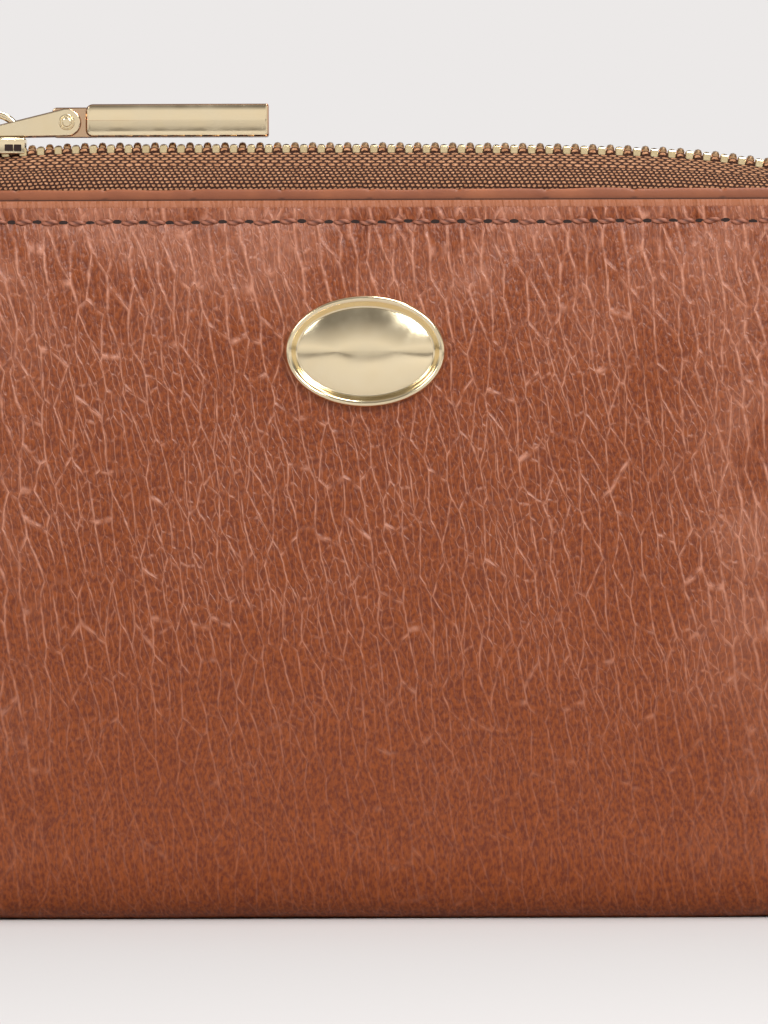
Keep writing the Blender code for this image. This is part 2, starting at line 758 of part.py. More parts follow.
def build_puller(line, materials, parts, helpers):
    """The link with its two cheeks, the rivet through its eye, and the bar."""
    pin_x, pin_z = link_pivot(line)
    eye = rivet_pivot(line)
    tongue_half = BAR_TONGUE_THICKNESS / 2
    cheek_in = max(tongue_half, BRIDGE_WIDTH / 2) + GAP
    cheek_out = cheek_in + LINK_CHEEK
    hole = RIVET_RADIUS + CLOSE_GAP
    cheek = [link_cheek_outline(line), circle(eye, hole)]
    link = as_mesh(upright_sheet("pull_link", cheek, -cheek_out, -cheek_in, materials["gold"], parts))
    link.data.materials.clear()
    link.data.materials.append(materials["gold"])
    other = as_mesh(upright_sheet("pull_link_cheek", cheek, cheek_in, cheek_out, None, parts))
    combine(link, other, "UNION", helpers)
    overlap = LINK_CHEEK / 2
    pin = pin_along_y(
        "pull_link_pin", (pin_x, pin_z), LINK_PIN_RADIUS, -cheek_in - overlap, cheek_in + overlap, None, parts, 12
    )
    combine(link, pin, "UNION", helpers)
    set_origin(link, (pin_x, 0.0, pin_z))

    head_start = cheek_out + CLOSE_GAP
    reach = head_start + RIVET_HEAD_THICKNESS
    rivet = pin_along_y("pull_rivet", eye, RIVET_RADIUS, -reach + CLOSE_GAP, reach - CLOSE_GAP, materials["gold"], parts)
    for end in (FRONT, BACK):
        low, high = sorted((end * head_start, end * reach))
        head = pin_along_y("rivet_head", eye, RIVET_HEAD, low, high, None, parts)
        combine(rivet, head, "UNION", helpers)
    build_bar(line, cheek_out, hole, materials, parts, helpers)


def build_bar(line, half_thickness, hole, materials, parts, helpers):
    """The bar: a thin drilled tongue between the cheeks and a thick grip beyond them."""
    eye_x, eye_z = rivet_pivot(line)
    low, high = eye_z - BAR_HEIGHT / 2, eye_z + BAR_HEIGHT / 2
    tongue_start = eye_x - BAR_TONGUE / 2 + CLOSE_GAP
    grip_start = eye_x + LINK_EYE + 2 * GAP
    grip_end = grip_start + BAR_LENGTH
    tongue_half = BAR_TONGUE_THICKNESS / 2
    overlap = 4 * GAP
    tongue = [(tongue_start, low), (grip_start + overlap, low), (grip_start + overlap, high), (tongue_start, high)]
    bar = as_mesh(
        upright_sheet(
            "pull_bar", [tongue, circle((eye_x, eye_z), hole)], -tongue_half, tongue_half, materials["gold"], parts
        )
    )
    bar.data.materials.clear()
    bar.data.materials.append(materials["gold"])
    grip = box_mesh(
        "pull_grip", (grip_start, -half_thickness, low), (grip_end, half_thickness, high), None, parts
    )
    combine(bar, grip, "UNION", helpers)
    set_origin(bar, (eye_x, 0.0, eye_z))


def set_origin(obj, point):
    """Moves an object's origin to a point, with its shape left where it is."""
    bpy.context.view_layer.update()
    world = obj.matrix_world.copy()
    obj.data.transform(Matrix.Translation(-Vector(point)) @ world)
    obj.matrix_world = Matrix.Translation(point)


def build_badge(materials, parts, helpers):
    """A plain oval badge with two posts through the front cover, each with a washer."""
    (x, z), posts = badge_place()
    steps = 28
    outline = [
        (x + BADGE_WIDTH / 2 * math.cos(a), z + BADGE_HEIGHT / 2 * math.sin(a))
        for a in np.linspace(0.0, 2 * math.pi, steps, endpoint=False)
    ]
    back = LEATHER_OUT + GAP
    y_low, y_high = between(FRONT, back, back + BADGE_THICKNESS)
    badge = as_mesh(upright_sheet("badge", [outline], y_low, y_high, materials["gold"], parts))
    badge.data.materials.clear()
    badge.data.materials.append(materials["gold"])
    for k, post_x in enumerate(posts):
        post = pin_along_y(
            f"badge_post_{k}",
            (post_x, z),
            BADGE_POST_RADIUS,
            -back - BADGE_THICKNESS / 2,
            -WASHER_IN,
            None,
            parts,
            12,
        )
        combine(badge, post, "UNION", helpers)
        washer = [circle((post_x, z), WASHER_RADIUS), circle((post_x, z), BADGE_HOLE_RADIUS, 12)]
        name = ("badge_washer_left", "badge_washer_right")[k]
        upright_sheet(name, washer, -WASHER_OUT, -WASHER_IN, materials["steel"], parts)


def main():
    """Builds the wallet."""
    clear_scene()
    parts = bpy.data.collections.new("zipped_wallet")
    helpers = bpy.data.collections.new("cutters")
    for collection in (parts, helpers):
        bpy.context.scene.collection.children.link(collection)
    materials = {
        "leather": make_material("grained_leather", (0.32, 0.09, 0.036), 0.42),
        "facing": make_material("edge_painted_leather", (0.42, 0.15, 0.06), 0.45),
        "lining_leather": make_material("lining_leather", (0.30, 0.10, 0.045), 0.5),
        "lining": make_material("lining_cloth", (0.16, 0.075, 0.045), 0.8),
        "board": make_material("fibre_board", (0.45, 0.36, 0.25), 0.9),
        "tape": make_material("zip_tape", (0.23, 0.10, 0.055), 0.85),
        "thread": make_material("sewing_thread", (0.22, 0.085, 0.045), 0.6),
        "brass": make_material("polished_brass", (0.80, 0.62, 0.33), 0.2, 1.0),
        "gold": make_material("light_gold_plate", (0.85, 0.70, 0.44), 0.15, 1.0),
        "steel": make_material("nickel_plated_steel", (0.6, 0.58, 0.55), 0.3, 1.0),
    }
    line = chain_line()
    build_cover(FRONT, "front", materials, parts)
    build_cover(BACK, "back", materials, parts)
    build_bottom(materials, parts)
    build_gusset(materials, parts)
    build_pockets(materials, parts)
    build_tape(FRONT, "zip_tape_front", materials, parts)
    build_tape(BACK, "zip_tape_back", materials, parts)
    build_teeth(FRONT, "zip_teeth_front", line, 0.0, materials, parts)
    build_teeth(BACK, "zip_teeth_back", line, 0.5, materials, parts)
    build_stops(line, materials, parts)
    build_slider(line, materials, parts, helpers)
    build_puller(line, materials, parts, helpers)
    build_badge(materials, parts, helpers)
    bpy.context.view_layer.update()


main()
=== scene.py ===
"""The looks of a small zipped leather wallet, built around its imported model.

Lengths are in metres. +X runs to the right, -Y is the front and +Z is up.
"""

import json
import logging
import math
from dataclasses import dataclass
from enum import Enum
from typing import Dict, List, Optional, Sequence, Tuple

import bmesh
import bpy
import numpy as np
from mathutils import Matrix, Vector


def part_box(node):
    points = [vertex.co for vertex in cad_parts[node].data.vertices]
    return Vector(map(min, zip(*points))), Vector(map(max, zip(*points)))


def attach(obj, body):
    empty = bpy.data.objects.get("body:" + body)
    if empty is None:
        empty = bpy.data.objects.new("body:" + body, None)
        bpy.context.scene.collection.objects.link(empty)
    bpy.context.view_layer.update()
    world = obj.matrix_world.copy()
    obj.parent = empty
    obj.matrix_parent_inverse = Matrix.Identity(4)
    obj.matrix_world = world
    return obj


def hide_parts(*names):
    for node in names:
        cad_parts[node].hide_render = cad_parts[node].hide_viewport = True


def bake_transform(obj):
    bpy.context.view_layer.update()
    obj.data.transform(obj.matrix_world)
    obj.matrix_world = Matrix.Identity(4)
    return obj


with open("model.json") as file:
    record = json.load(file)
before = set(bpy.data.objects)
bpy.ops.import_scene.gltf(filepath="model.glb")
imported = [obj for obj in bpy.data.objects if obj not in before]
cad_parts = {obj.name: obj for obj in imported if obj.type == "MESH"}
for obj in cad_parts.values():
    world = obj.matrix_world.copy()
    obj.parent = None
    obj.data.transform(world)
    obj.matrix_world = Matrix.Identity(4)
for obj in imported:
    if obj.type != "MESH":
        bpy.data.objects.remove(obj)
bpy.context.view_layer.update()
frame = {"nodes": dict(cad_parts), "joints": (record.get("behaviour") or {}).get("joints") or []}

LOG = logging.getLogger("wallet")
MM = 0.001

Array = np.ndarray
Node = bpy.types.Node
NodeInputs = Dict[object, object]
NodeTree = bpy.types.NodeTree
Pair = Tuple[float, float]
Faceted = Tuple[Array, List[List[int]]]


class Side(Enum):
    """The two covers, with the sign of their y."""

    FRONT = -1
    BACK = 1

    @property
    def word(self) -> str:
        """The side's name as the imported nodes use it."""
        return self.name.lower()

    @property
    def body(self) -> str:
        """The body that the side's pieces ride on."""
        return f"{self.word}_cover"


# ---------------------------------------------------------------- colour and nodes


def colour(code: str) -> Tuple[float, float, float, float]:
    """An sRGB hex colour as linear RGBA.

    Args:
        code: six hex digits, such as "9A4F2E".

    Returns:
        The colour as Blender's shaders take it.
    """
    parts = [int(code[i : i + 2], 16) / 255 for i in (0, 2, 4)]
    linear = [p / 12.92 if p <= 0.04045 else ((p + 0.055) / 1.055) ** 2.4 for p in parts]
    return (*linear, 1.0)


def set_inputs(tree: NodeTree, node: Node, inputs: NodeInputs) -> None:
    """Gives a node's inputs their values and links.

    Args:
        tree: the material's node tree.
        node: the node.
        inputs: input name or number to a value, to the socket it is linked from, or to
            the node whose first output in use it is linked from.
    """
    for key, value in inputs.items():
        if isinstance(value, bpy.types.Node):
            value = next(output for output in value.outputs if output.enabled)
        if isinstance(value, bpy.types.NodeSocket):
            tree.links.new(value, node.inputs[key])
        else:
            node.inputs[key].default_value = value


def add(
    tree: NodeTree, kind: str, inputs: Optional[NodeInputs] = None, **settings: object
) -> Node:
    """Adds a node with its settings, values and links.

    Args:
        tree: the material's node tree.
        kind: the node's type name, without the "ShaderNode" it starts with.
        inputs: its inputs, as set_inputs takes them.
        settings: the node's own properties.

    Returns:
        The new node.
    """
    made = tree.nodes.new(f"ShaderNode{kind}")
    for key, value in settings.items():
        setattr(made, key, value)
    set_inputs(tree, made, inputs or {})
    return made


@dataclass(frozen=True)
class Finish:
    """A finish: a material name, and how rough and how metallic its surface is."""

    name: str
    roughness: float = 0.5
    metallic: float = 0.0

    def start(self) -> Tuple[bpy.types.Material, NodeTree, bpy.types.ShaderNode]:
        """A new material with its node tree and its Principled shader."""
        material = bpy.data.materials.new(self.name)
        material.use_nodes = True
        tree = material.node_tree
        shader = tree.nodes["Principled BSDF"]
        set_inputs(tree, shader, {"Roughness": self.roughness, "Metallic": self.metallic})
        return material, tree, shader

    def make(self) -> bpy.types.Material:
        """Builds the material."""
        raise NotImplementedError


@dataclass(frozen=True)
class GrainedLeather(Finish):
    """Milled calf leather, semi-aniline dyed: long shallow creases over a matt grain, lit partly by their
    bump and partly by a painted highlight.
    """

    plain: str = "8C420F"
    deep: str = "672809"
    # painted highlight: the pale pink of the lit crease flanks and of the sheen patches below the seam
    ridge: str = "D09075"
    paint: str = "9E5E3D"
    cell: Pair = (2.2 * MM, 6.8 * MM)
    small_cell: Pair = (0.95 * MM, 2.4 * MM)
    wrinkle: Pair = (1.3 * MM, 9.0 * MM)
    lean: float = 10.0
    wrinkle_lean: float = 6.0
    grit: float = 0.36 * MM
    patch: float = 13 * MM
    gap: float = 1.7 * MM
    relief: float = 0.11 * MM
    gloss: float = 0.38
    drifts: Tuple[Pair, ...] = ((11 * MM, 1.8 * MM), (1.6 * MM, 0.3 * MM))

    def creases(
        self, tree: NodeTree, place: Node, cell: Pair, width: object, faint: float
    ) -> Node:
        """A net of thin crease lines round long leaning cells.

        The line is 1 on the border of two cells and falls to 0 at a share, the width, of
        a cell away from it. It is strong on the borders beside a cell's middle and faint
        above and below it, so that the net runs up the hide.

        Args:
            tree: the material's node tree.
            place: the node with the hide's own wandering coordinates, in metres.
            cell: a cell's width and height.
            width: the node or value with the line's half width as a share of a cell.
            faint: the strength of the borders above and below a cell.

        Returns:
            The node with the line's strength.
        """
        turn = (0.0, 0.0, math.radians(-self.lean))
        size = (*cell, 1.0)
        turned = add(
            tree, "Mapping", {"Vector": place, "Rotation": turn, "Scale": size}, vector_type="TEXTURE"
        )
        net = {"Vector": turned, "Scale": 1.0, "Randomness": 0.9}
        borders = add(
            tree, "TexVoronoi", net, voronoi_dimensions="2D", feature="DISTANCE_TO_EDGE"
        ).outputs["Distance"]
        line = add(
            tree,
            "MapRange",
            {"Value": borders, 1: 0.0, 2: width, 3: 1.0, 4: 0.0},
            interpolation_type="SMOOTHSTEP",
        )
        middles = add(tree, "TexVoronoi", net, voronoi_dimensions="2D").outputs["Position"]
        away = add(tree, "VectorMath", {0: turned, 1: middles}, operation="SUBTRACT")
        away = add(tree, "VectorMath", {0: away}, operation="ABSOLUTE")
        parts = add(tree, "SeparateXYZ", {0: away})
        beside = add(tree, "Math", {0: parts.outputs[0], 1: parts.outputs[1]}, operation="SUBTRACT")
        share = add(
            tree,
            "MapRange",
            {"Value": beside, 1: -0.3, 2: 0.12, 3: faint, 4: 1.0},
            interpolation_type="SMOOTHSTEP",
        )
        return add(tree, "Math", {0: line, 1: share}, operation="MULTIPLY")

    def make(self) -> bpy.types.Material:
        """Builds the material on the hide's UV map.

        "edge_mm" is the distance from the cut edge, which is painted, and the creases, their painted
        highlight and the pale patches of painted sheen fade with it. "milled" is 0 where the creases are
        pulled smooth.
        """
        material, tree, shader = self.start()
        uv = add(tree, "UVMap", uv_map="hide")
        place = uv
        for reach, size in self.drifts:
            drift = add(tree, "TexNoise", {"Vector": uv, "Scale": 1 / reach, "Detail": 1.0})
            drift = add(
                tree, "VectorMath", {0: drift.outputs["Color"], 1: (0.5, 0.5, 0.5)}, operation="SUBTRACT"
            )
            drift = add(tree, "VectorMath", {0: drift, "Scale": size}, operation="SCALE")
            place = add(tree, "VectorMath", {0: place, 1: drift}, operation="ADD")
        edge = add(tree, "Attribute", attribute_name="edge_mm")
        near_seam = add(tree, "MapRange", {"Value": edge.outputs["Fac"], 1: 3.0, 2: 21.0, 3: 1.0, 4: 0.1})
        width = add(tree, "MapRange", {"Value": near_seam, 1: 0.1, 2: 1.0, 3: 0.085, 4: 0.17})
        long_lines = self.creases(tree, place, self.cell, width, 0.14)
        short_lines = self.creases(tree, place, self.small_cell, 0.13, 0.15)
        patches = add(tree, "TexNoise", {"Vector": uv, "Scale": 1 / self.patch, "Detail": 3.0})
        broken = add(tree, "TexNoise", {"Vector": uv, "Scale": 1 / self.gap, "Detail": 2.0})
        long_share = add(tree, "MapRange", {"Value": broken, 1: 0.36, 2: 0.58, 3: 0.35, 4: 1.0})
        long_lines = add(tree, "Math", {0: long_lines, 1: long_share}, operation="MULTIPLY")
        short_share = add(tree, "MapRange", {"Value": patches, 1: 0.4, 2: 0.62, 3: 0.2, 4: 0.65})
        short_lines = add(tree, "Math", {0: short_lines, 1: short_share}, operation="MULTIPLY")
        lines = add(tree, "Math", {0: long_lines, 1: short_lines}, operation="MAXIMUM")
        tall = add(tree, "Mapping", {"Vector": place, "Scale": (1.0, 0.55, 1.0)})
        grit = add(tree, "TexNoise", {"Vector": tall, "Scale": 1 / self.grit, "Detail": 3.0})
        # this also weakens the painted crease highlight and sheen towards the fold, a painted fall of light
        milled = add(tree, "Attribute", attribute_name="milled")
        hide = add(tree, "MapRange", {"Value": edge.outputs["Fac"], 1: 0.8, 2: 0.96, 3: 0.0, 4: 1.0})
        grained = add(tree, "Math", {0: milled.outputs["Fac"], 1: hide}, operation="MULTIPLY")
        lines = add(tree, "Math", {0: lines, 1: grained}, operation="MULTIPLY")

        turn = (0.0, 0.0, math.radians(-self.wrinkle_lean))
        size = (*self.wrinkle, 1.0)
        leaning = add(
            tree, "Mapping", {"Vector": place, "Rotation": turn, "Scale": size}, vector_type="TEXTURE"
        )
        wave = add(tree, "TexNoise", {"Vector": leaning, "Scale": 1.0, "Detail": 2.0})
        wave = add(tree, "Math", {0: wave, 1: 0.5}, operation="SUBTRACT")
        wave = add(tree, "Math", {0: wave}, operation="ABSOLUTE")
        wave = add(tree, "Math", {0: wave, 1: near_seam}, operation="MULTIPLY")

        tone = add(tree, "MapRange", {"Value": grit, 1: 0.36, 2: 0.64, 3: 0.0, 4: 1.0})
        body = add(tree, "Mix", {0: tone, 6: colour(self.deep), 7: colour(self.plain)}, data_type="RGBA")
        # painted highlight: the crease lines are painted pale pink, on top of their bump
        line_share = add(tree, "Math", {0: lines, 1: 0.8}, operation="MULTIPLY")
        # painted sheen: soft pale patches just below the seam, where the top light glances off the leather
        wear_and_sheen = add(tree, "MapRange", {"Value": patches, 1: 0.42, 2: 0.62, 3: 0.04, 4: 0.32})
        wear_and_sheen = add(tree, "Math", {0: wear_and_sheen, 1: near_seam}, operation="MULTIPLY")
        wear_and_sheen = add(tree, "Math", {0: wear_and_sheen, 1: grained}, operation="MULTIPLY")
        body = add(tree, "Mix", {0: wear_and_sheen, 6: body, 7: colour(self.ridge)}, data_type="RGBA")
        lined = add(tree, "Mix", {0: line_share, 6: body, 7: colour(self.ridge)}, data_type="RGBA")
        painted = add(tree, "Mix", {0: hide, 6: colour(self.paint), 7: lined}, data_type="RGBA")

        rough = add(tree, "MapRange", {"Value": grained, 1: 0.0, 2: 1.0, 3: 0.5, 4: 0.34})
        grain = add(tree, "Math", {0: grit, 1: 1.3, 2: lines}, operation="MULTIPLY_ADD")
        grain = add(tree, "Math", {0: grain, 1: grained}, operation="MULTIPLY")
        relief = add(tree, "Math", {0: wave, 1: 9.0, 2: grain}, operation="MULTIPLY_ADD")
        bump = add(tree, "Bump", {"Strength": 1.0, "Distance": self.relief, "Height": relief})
        looks = {"Base Color": painted, "Roughness": rough, "Normal": bump, "Specular IOR Level": self.gloss}
        set_inputs(tree, shader, looks)
        return material


@dataclass(frozen=True)
class SmoothLeather(Finish):
    """Corrected smooth leather with a painted cut edge: even colour, soft gloss and faint pores."""

    plain: str = "A5603A"
    deep: str = "86482A"
    # painted shade in the narrow gap beside the cover's leather and in the facing's dips
    crevice_shade: str = "3A170A"
    pore: float = 0.35 * MM

    def make(self) -> bpy.types.Material:
        """Builds the material on Object coordinates, with painted shade, near-black, where "crevice" is above
        0.
        """
        material, tree, shader = self.start()
        place = add(tree, "TexCoord").outputs["Object"]
        cloud = add(tree, "TexNoise", {"Vector": place, "Scale": 1 / (6 * MM), "Detail": 3.0})
        pores = add(tree, "TexNoise", {"Vector": place, "Scale": 1 / self.pore, "Detail": 2.0})
        tone = add(tree, "MapRange", {"Value": cloud, 1: 0.3, 2: 0.7, 3: 0.1, 4: 1.0})
        mixed = add(tree, "Mix", {0: tone, 6: colour(self.deep), 7: colour(self.plain)}, data_type="RGBA")
        crevice = add(tree, "Attribute", attribute_name="crevice")
        shaded = add(
            tree, "Mix", {0: crevice.outputs["Fac"], 6: mixed, 7: colour(self.crevice_shade)}, data_type="RGBA"
        )
        bump = add(tree, "Bump", {"Strength": 0.35, "Distance": 0.05 * MM, "Height": pores})
        set_inputs(tree, shader, {"Base Color": shaded, "Normal": bump})
        return material


@dataclass(frozen=True)
class Cloth(Finish):
    """Plain-woven polyester lining: two sets of threads over and under each other, with little gloss.

    The threads are drawn twice as coarse as real ones, so that the weave shows.
    """

    plain: str = "6E4A38"
    deep: str = "3A2218"
    thread: float = 0.45 * MM
    relief: float = 0.08 * MM

    def make(self) -> bpy.types.Material:
        """Builds the weave as a product of two sets of ridges on Object coordinates."""
        material, tree, shader = self.start()
        place = add(tree, "TexCoord").outputs["Object"]
        wave = {"Vector": place, "Scale": math.tau / 20 / self.thread, "Distortion": 0.4}
        ridges = [add(tree, "TexWave", wave, bands_direction=axis).outputs["Fac"] for axis in ("X", "Z")]
        weave = add(tree, "Math", {0: ridges[0], 1: ridges[1]}, operation="MULTIPLY")
        # painted shade: the gaps between the threads are darker
        mixed = add(tree, "Mix", {0: weave, 6: colour(self.deep), 7: colour(self.plain)}, data_type="RGBA")
        bump = add(tree, "Bump", {"Strength": 0.6, "Distance": self.relief, "Height": weave})
        set_inputs(tree, shader, {"Base Color": mixed, "Normal": bump, "Sheen Weight": 0.2})
        return material


@dataclass(frozen=True)
class ZipTape(Finish):
    """Woven polyester tape: wide ribs beside the teeth, then a fine slanting twill, light threads over
    painted shade in the gaps.
    """

    light: str = "C99570"
    middle: str = "9A6643"
    # painted shade in the gaps between the woven threads
    gap: str = "3A1A0A"
    rib: Pair = (1.1 * MM, 0.66 * MM)
    twill: Pair = (0.66 * MM, 0.47 * MM)
    twill_slide: float = -0.36
    rib_zone: float = 3.4 * MM

    def floats(
        self, tree: NodeTree, uv: Node, size: Pair, slide: float, flat: float
    ) -> Node:
        """Rows of rounded thread floats, each row moved along by a share of a float.

        The height is a cosine along each float times a cosine across its row, and the
        larger flat is, the wider its level top and the narrower the gaps.

        Args:
            tree: the material's node tree.
            uv: the node with the distance along and across the tape, in metres.
            size: a float's length and the rows' spacing.
            slide: how far each row is moved, in floats.
            flat: how many times the height is raised before it is cut off at 1.

        Returns:
            The node with the floats' height, 0 in the gaps and 1 on the threads.
        """
        parts = add(tree, "SeparateXYZ", {0: uv})
        row = add(tree, "Math", {0: parts.outputs[1], 1: 1 / size[1]}, operation="MULTIPLY")
        number = add(tree, "Math", {0: row, 1: 0.0}, operation="FLOOR")
        moved = add(tree, "Math", {0: number, 1: slide}, operation="MULTIPLY")
        along = add(tree, "Math", {0: parts.outputs[0], 1: 1 / size[0], 2: moved}, operation="MULTIPLY_ADD")
        waves = []
        for turns in (along, row):
            angle = add(tree, "Math", {0: turns, 1: math.tau}, operation="MULTIPLY")
            wave = add(tree, "Math", {0: angle}, operation="COSINE")
            waves.append(add(tree, "Math", {0: wave, 1: -0.5, 2: 0.5}, operation="MULTIPLY_ADD"))
        product = add(tree, "Math", {0: waves[0], 1: waves[1]}, operation="MULTIPLY")
        return add(tree, "Math", {0: product, 1: flat}, operation="MULTIPLY", use_clamp=True)

    def make(self) -> bpy.types.Material:
        """Builds the tape's weave on its UV map: distance along it, and across it from the teeth."""
        material, tree, shader = self.start()
        uv = add(tree, "UVMap", uv_map="tape")
        wander = add(tree, "TexNoise", {"Vector": uv, "Scale": 1 / (0.8 * MM), "Detail": 2.0})
        shift = add(
            tree, "VectorMath", {0: wander.outputs["Color"], 1: (0.5, 0.5, 0.5)}, operation="SUBTRACT"
        )
        shift = add(tree, "VectorMath", {0: shift, "Scale": 0.34 * MM}, operation="SCALE")
        uv = add(tree, "VectorMath", {0: uv, 1: shift}, operation="ADD")
        ribs = self.floats(tree, uv, self.rib, 0.5, 3.4)
        twill = self.floats(tree, uv, self.twill, self.twill_slide, 2.3)
        across = add(tree, "SeparateXYZ", {0: uv}).outputs[1]
        zone = add(
            tree,
            "MapRange",
            {"Value": across, 1: self.rib_zone - 0.1 * MM, 2: self.rib_zone + 0.1 * MM, 3: 0.0, 4: 1.0},
        )
        height = add(tree, "Mix", {0: zone, 2: ribs, 3: twill}, data_type="FLOAT")
        fibre = add(tree, "TexNoise", {"Vector": uv, "Scale": 1 / (0.45 * MM), "Detail": 3.0})
        light = add(tree, "MapRange", {"Value": fibre, 1: 0.35, 2: 0.65, 3: 0.0, 4: 1.0})
        thread = add(
            tree, "Mix", {0: light, 6: colour(self.middle), 7: colour(self.light)}, data_type="RGBA"
        )
        # painted shade: the gaps between the floats are painted near-black
        shade = add(
            tree,
            "MapRange",
            {"Value": height, 1: 0.12, 2: 0.85, 3: 0.0, 4: 1.0},
            interpolation_type="SMOOTHSTEP",
        )
        mixed = add(tree, "Mix", {0: shade, 6: colour(self.gap), 7: thread}, data_type="RGBA")
        bump = add(tree, "Bump", {"Strength": 1.0, "Distance": 0.22 * MM, "Height": height})
        set_inputs(tree, shader, {"Base Color": mixed, "Normal": bump, "Specular IOR Level": 0.3})
        return material


@dataclass(frozen=True)
class PolishedMetal(Finish):
    """Polished plated metal: a clear reflection, dulled a little by handling."""

    metallic: float = 1.0
    plain: str = "F5E7C6"
    wear_and_sheen: str = "EBD8B0"
    # painted reflection: the brown leather and tape as bevels and zip heads would mirror them
    painted_reflection: str = "A8623C"
    smudge: float = 3.0 * MM
    haze: float = 0.1

    def make(self) -> bpy.types.Material:
        """Builds the metal with handling marks on Object coordinates, and a redder painted reflection where
        "bevel" is 1.
        """
        material, tree, shader = self.start()
        place = add(tree, "TexCoord").outputs["Object"]
        cloud = add(tree, "TexNoise", {"Vector": place, "Scale": 1 / self.smudge, "Detail": 4.0})
        mixed = add(tree, "Mix", {0: cloud, 6: colour(self.wear_and_sheen), 7: colour(self.plain)}, data_type="RGBA")
        # painted reflection: redder brown where the attribute is 1
        rim = add(tree, "Attribute", attribute_name="painted_reflection")
        mixed = add(tree, "Mix", {0: rim.outputs["Fac"], 6: mixed, 7: colour(self.painted_reflection)}, data_type="RGBA")
        low, high = self.roughness, self.roughness + self.haze
        rough = add(tree, "MapRange", {"Value": cloud, 1: 0.35, 2: 0.7, 3: low, 4: high})
        set_inputs(tree, shader, {"Base Color": mixed, "Roughness": rough})
        return material


@dataclass(frozen=True)
class TwistedThread(Finish):
    """Bonded nylon sewing thread: smooth twisted plies with a soft shine.

    The fibres are drawn a few times as coarse as real ones, so that they show.
    """

    plain: str = "A9694F"
    deep: str = "5E2C1A"
    fibre: float = 0.12 * MM

    def make(self) -> bpy.types.Material:
        """Builds the thread: light on the plies, with painted shade between them and at its ends as "ply"
        says, and fine fibres.
        """
        material, tree, shader = self.start()
        place = add(tree, "TexCoord").outputs["Object"]
        fibre = add(tree, "TexNoise", {"Vector": place, "Scale": 1 / self.fibre, "Detail": 3.0})
        ply = add(tree, "Attribute", attribute_name="ply")
        mixed = add(
            tree,
            "Mix",
            {0: ply.outputs["Fac"], 6: colour(self.deep), 7: colour(self.plain)},
            data_type="RGBA",
        )
        bump = add(tree, "Bump", {"Strength": 0.5, "Distance": 0.06 * MM, "Height": fibre})
        set_inputs(tree, shader, {"Base Color": mixed, "Normal": bump})
        return material


@dataclass(frozen=True)
class Plain(Finish):
    """A matt surface with a cloudy variation of tone, as on fibre board or a painted floor."""

    plain: str = "B7A283"
    deep: str = "A38D6C"
    cloud: float = 2.0 * MM

    def make(self) -> bpy.types.Material:
        """Builds the material on Object coordinates."""
        material, tree, shader = self.start()
        place = add(tree, "TexCoord").outputs["Object"]
        cloud = add(tree, "TexNoise", {"Vector": place, "Scale": 1 / self.cloud, "Detail": 4.0})
        mixed = add(tree, "Mix", {0: cloud, 6: colour(self.deep), 7: colour(self.plain)}, data_type="RGBA")
        set_inputs(tree, shader, {"Base Color": mixed})
        return material


# ---------------------------------------------------------------- meshes


def grid_faces(rows: int, columns: int) -> Array:
    """The quads of a grid of points that is numbered row by row, each row closed on itself.

    Args:
        rows: how many rows of points.
        columns: how many points in a row.

    Returns:
        An array of quads, four point numbers each.
    """
    row = np.arange(rows - 1)[:, None] * columns
    column = np.arange(columns)[None, :]
    ahead = (column + 1) % columns
    corners = (row + column, row + ahead, row + columns + ahead, row + columns + column)
    return np.stack(corners, axis=-1).reshape(-1, 4)


def piece(
    name: str,
    points: Array,
    faces: Sequence[Sequence[int]],
    material: bpy.types.Material,
    uv: Optional[Tuple[str, Array]] = None,
    numbers: Optional[Dict[str, Array]] = None,
    sharp: float = 35.0,
) -> bpy.types.Object:
    """A mesh object from points and faces, turned outwards, smooth except for its flat caps.

    Args:
        name: the piece's name.
        points: its points, an array of (count, 3).
        faces: its faces as lists of point numbers.
        material: its finish.
        uv: a UV map's name and its coordinates for each point.
        numbers: attribute name to one value for each point.
        sharp: the angle in degrees past which an edge stays sharp.

    Returns:
        The new object, at the origin.
    """
    data = bpy.data.meshes.new(name)
    data.from_pydata(np.asarray(points).tolist(), [], [list(map(int, f)) for f in faces])
    mesh = bmesh.new()
    mesh.from_mesh(data)
    bmesh.ops.recalc_face_normals(mesh, faces=mesh.faces)
    mesh.to_mesh(data)
    mesh.free()
    data.shade_smooth()
    data.set_sharp_from_angle(angle=math.radians(sharp))
    corners = np.zeros(len(data.polygons), np.int32)
    data.polygons.foreach_get("loop_total", corners)
    data.polygons.foreach_set("use_smooth", corners <= 4)
    if uv is not None:
        layer = data.uv_layers.new(name=uv[0])
        at = np.zeros(len(data.loops), np.int32)
        data.loops.foreach_get("vertex_index", at)
        layer.data.foreach_set("uv", np.asarray(uv[1], np.float32)[at].ravel())
    for key, values in (numbers or {}).items():
        attribute = data.attributes.new(key, "FLOAT", "POINT")
        attribute.data.foreach_set("value", np.asarray(values, np.float32).ravel())
    data.materials.append(material)
    made = bpy.data.objects.new(name, data)
    bpy.context.scene.collection.objects.link(made)
    return made


def paint_bevel_reflections(made: bpy.types.Object) -> None:
    """Writes "bevel", the share of painted reflection: 0 on faces that look along Y and on the sides, up to 1
    on the slopes between.
    """
    data = made.data
    normals = np.zeros(len(data.vertices) * 3, np.float32)
    data.vertices.foreach_get("normal", normals)
    facing = np.abs(normals.reshape(-1, 3)[:, 1])
    share = (np.clip((0.9 - facing) / 0.3, 0.0, 1.0) * np.clip(facing / 0.3, 0.0, 1.0)).astype(np.float32)
    data.attributes.new("painted_reflection", "FLOAT", "POINT").data.foreach_set("value", share)


def solid(rings: Array) -> Faceted:
    """The points and faces of a closed solid through rings of points, with a cap at each end.

    Args:
        rings: an array of (rings, points, 3).

    Returns:
        The points, (count, 3), and the faces.
    """
    count, size = rings.shape[:2]
    last = (count - 1) * size
    caps = [list(range(size)), list(range(last, last + size))]
    return rings.reshape(-1, 3), grid_faces(count, size).tolist() + caps


